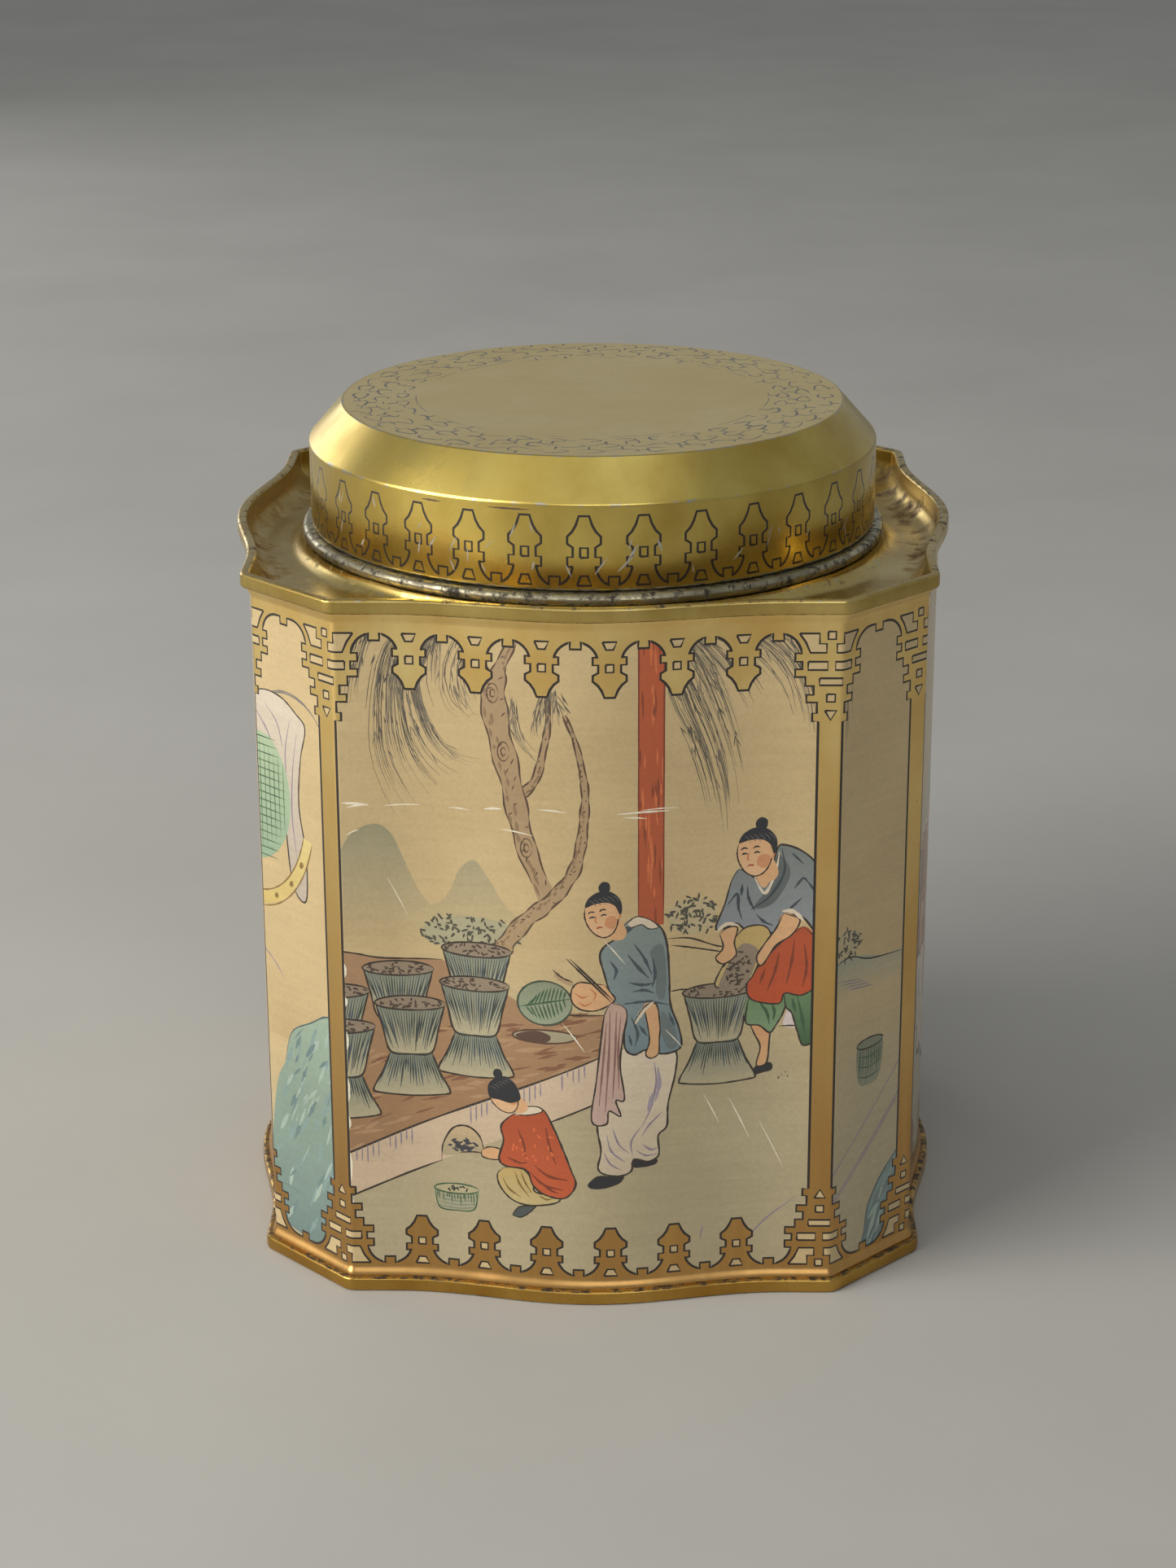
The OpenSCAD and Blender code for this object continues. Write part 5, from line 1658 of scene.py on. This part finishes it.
def top_print():
    """A worn ring of linked cloud shapes and short bars round the flat top."""
    sheet = Print(np.zeros(3), 11)
    rng = sheet.rng
    faint = rgb("4f4633")

    def mark(line, width, taper=0.15):
        stroke = brushed(line, width, taper, rng)
        reach = np.linalg.norm(stroke, axis=1, keepdims=True)
        sheet.fill([stroke * np.minimum(1, (LID_TOP_RADIUS - TOP_EDGE_ROUND) / reach)], faint, slot=1)

    def ring_line(radius, angles, wave=0.0, lobes=1, width=0.22):
        radii = radius + wave * np.sin(lobes * angles)
        mark(np.stack([radii * np.cos(angles), radii * np.sin(angles)], 1), width, 0.2)

    middle_row = 35.0
    for radius, count, size in ((38.6, 44, 1.5), (middle_row, 40, 1.35), (31.6, 36, 1.2)):
        for k in range(count):
            middle = (k + 0.5 * (radius == middle_row)) * 2 * math.pi / count
            start = rng.uniform(0, 2 * math.pi)
            turn = start + np.linspace(0, rng.uniform(3.2, 6.2), 12)
            bulge = size * (1 + 0.16 * np.cos(3 * turn))
            out = np.array([math.cos(middle), math.sin(middle)])
            across = np.array([-math.sin(middle), math.cos(middle)])
            loop = radius * out + np.outer(bulge * np.cos(turn) * 1.35, across)
            mark(loop + np.outer(bulge * np.sin(turn) * 0.8, out), rng.uniform(0.25, 0.48))
            if rng.random() < 0.75:
                spoke = np.linspace(size * 0.8, size * 0.8 + 1.6, 4)
                mark(radius * out + np.outer(spoke, out * rng.choice([-1, 1])), 0.42, 0)
            if rng.random() < 0.6:
                ring_line(radius, middle + np.linspace(0.05, 0.11, 5), 0.2, 30)
    for start in rng.uniform(0, 2 * math.pi, 26):
        ring_line(29.3, start + np.linspace(0, rng.uniform(0.05, 0.3), 8), width=0.16)
    return sheet


def lid_top():
    """The flat top and the shoulder, closed underneath and where the skirt goes on."""
    shoulder = lid_shoulder()
    # a point on the flat and one on the skirt give the sheet's ends their directions
    run = joined([(LID_TOP_RADIUS / 2, LID_TOP_Z)], shoulder, [(LID_RADIUS, LID_BOTTOM_Z)])
    under = other_face(run)[1:-1]
    sheet = top_print()
    rim = around(shoulder[0][0], LID_TOP_Z)[:, :2]
    reach = np.array([LID_RADIUS, LID_RADIUS])
    spots, triangles, shown = sheet.cut(-reach, reach, [], [], rim)
    colours, slots = sheet.colours(spots, triangles, shown)
    build = Build()
    upward = np.tile([0, 0, 1.0], (3 * len(triangles), 1))
    plain = np.where(slots == 0, 2, slots)
    build.add(np.column_stack([spots, np.full(len(spots), LID_TOP_Z)]), triangles, upward, colours, plain)
    wear = [(0, 0.3, 0.2)] + [(0, 0.5, 0.3)] * 7 + [(0, 0.12, 0.1)] * 2
    wear += [(0, 0.44, 0.24)] * (len(shoulder) - len(wear))
    build.grid([around(*spot) for spot in shoulder], wear)
    build.grid([around(*spot) for spot in under], [(0, 0.6, 0.1)] * len(under), flip=True)
    build.grid([around(*shoulder[-1]), around(*under[-1])], [(0, 0.4, 0.1)] * 2)
    fan = [(i, TURN_STATIONS, (i + 1) % TURN_STATIONS) for i in range(TURN_STATIONS)]
    middle = [(0, 0, under[0][1])]
    build.add(np.concatenate([around(*under[0]), middle]), fan, colours=(0, 0.6, 0.1))
    return build.make("lid_top", [gold_lid, lid_ink, gold_lid_disc], "lid", "lid")


# ---------------------------------------------------------------- the room
def area_light(name, place, target, width, height, power, colour=(1, 1, 1)):
    """A soft rectangular light at a place in metres, turned to a target."""
    lamp = bpy.data.lights.new(name, "AREA")
    lamp.shape = "RECTANGLE"
    lamp.size = width
    lamp.size_y = height
    lamp.energy = power
    lamp.color = colour
    light = bpy.data.objects.new(name, lamp)
    light.location = place
    light.rotation_euler = (Vector(target) - Vector(place)).to_track_quat("-Z", "Y").to_euler()
    bpy.context.scene.collection.objects.link(light)


def room():
    """A plain pale floor, a pale even surround and soft light from the front left."""
    mesh = bpy.data.meshes.new("floor")
    reach = 9.0
    corners = [(-reach, -reach, 0), (reach, -reach, 0), (reach, reach, 0), (-reach, reach, 0)]
    mesh.from_pydata(corners, [], [(0, 1, 2, 3)])
    floor = bpy.data.objects.new("floor", mesh)
    bpy.context.scene.collection.objects.link(floor)
    look = Shader("floor_paint", Roughness=0.8)
    tone = look.mix(look.spread(look.noise(60, 4), 0.3, 0.7), rgb("a8a59e"), rgb("afaca5"))
    look.set(Base_Color=tone)
    mesh.materials.append(look.material)

    world = bpy.data.worlds.new("studio")
    world.use_nodes = True
    background = world.node_tree.nodes["Background"]
    background.inputs["Color"].default_value = (0.80, 0.84, 0.88, 1)
    background.inputs["Strength"].default_value = 0.36
    bpy.context.scene.world = world
    target = (0, 0, 0.07)
    area_light("window", (-0.95, -0.5, 0.62), target, 0.9, 0.8, 16.5, (1, 0.98, 0.94))
    area_light("fill", (0.1, -1.2, 0.75), target, 0.9, 0.5, 2.4)
    area_light("back", (-0.8, 0.95, 0.3), target, 0.7, 0.7, 3.2)
    area_light("overhead", (-0.1, -0.45, 1.2), target, 1.3, 0.9, 1.5)
    view = bpy.context.scene.view_settings
    view.view_transform = "Standard"
    view.look = "None"
    view.exposure = 0.0


def photo_camera():
    """The photograph's viewpoint: a little to the right of the middle, 20 degrees down."""
    place = Vector((8.1, -530.3, 259.3)) * MM
    aim = Vector((-1.0, 0, 69.1)) * MM
    roll = -0.004
    data = bpy.data.cameras.new("camera")
    data.sensor_width = 36
    data.lens = 74.65
    data.clip_start = 0.02
    camera = bpy.data.objects.new("camera", data)
    turn = (aim - place).to_track_quat("-Z", "Y").to_matrix().to_4x4()
    camera.matrix_world = Matrix.Translation(place) @ turn @ Matrix.Rotation(roll, 4, "Z")
    bpy.context.scene.collection.objects.link(camera)
    bpy.context.scene.camera = camera


# ---------------------------------------------------------------- all of it
photo_camera()
room()
printed = printed_ink("wrap_print")
# the last colour, c4975a, is a painted shade: the wrap's gold darkens towards the table as if it reflected
# dark surroundings
gold_print = gold_lacquer("wrap_gold_painted_shade", "ffe49c", "e6be70", (0.22, 0.4), False, "c4975a")
inner_tin = inside_tin("wrap_inside")
gold_top = gold_lacquer("top_gold", "d8c078", "ad914c")
gold_end = gold_lacquer("end_gold", "cfa757", "a0752f")
gold_lid = gold_lacquer("lid_gold", "e0c971", "bfa24f")
gold_lid_disc = gold_lacquer("lid_disc_gold", "efdaa2", "d6c28c", (0.42, 0.55), False)
bare_tin = tinplate("neck_tin", "cfc6a4")
lid_ink = printed_ink("lid_print")

for turn, (side, side_picture, cut_picture) in enumerate(SCENES):
    middle = turn * SIDE_PITCH
    printed_panel(f"wrap_{side}", side_picture, FIRST_SIDE_SEED + turn, middle, FACE_HALF,
                  PAGODAS_ON_A_SIDE)
    middle += SIDE_PITCH / 2
    printed_panel(f"wrap_cut_after_{side}", cut_picture, FIRST_CUT_SEED + turn, middle, CUT_HALF, 0)
bottom_end()
top_end()
neck_ring()
lid_skirt()
lid_top()
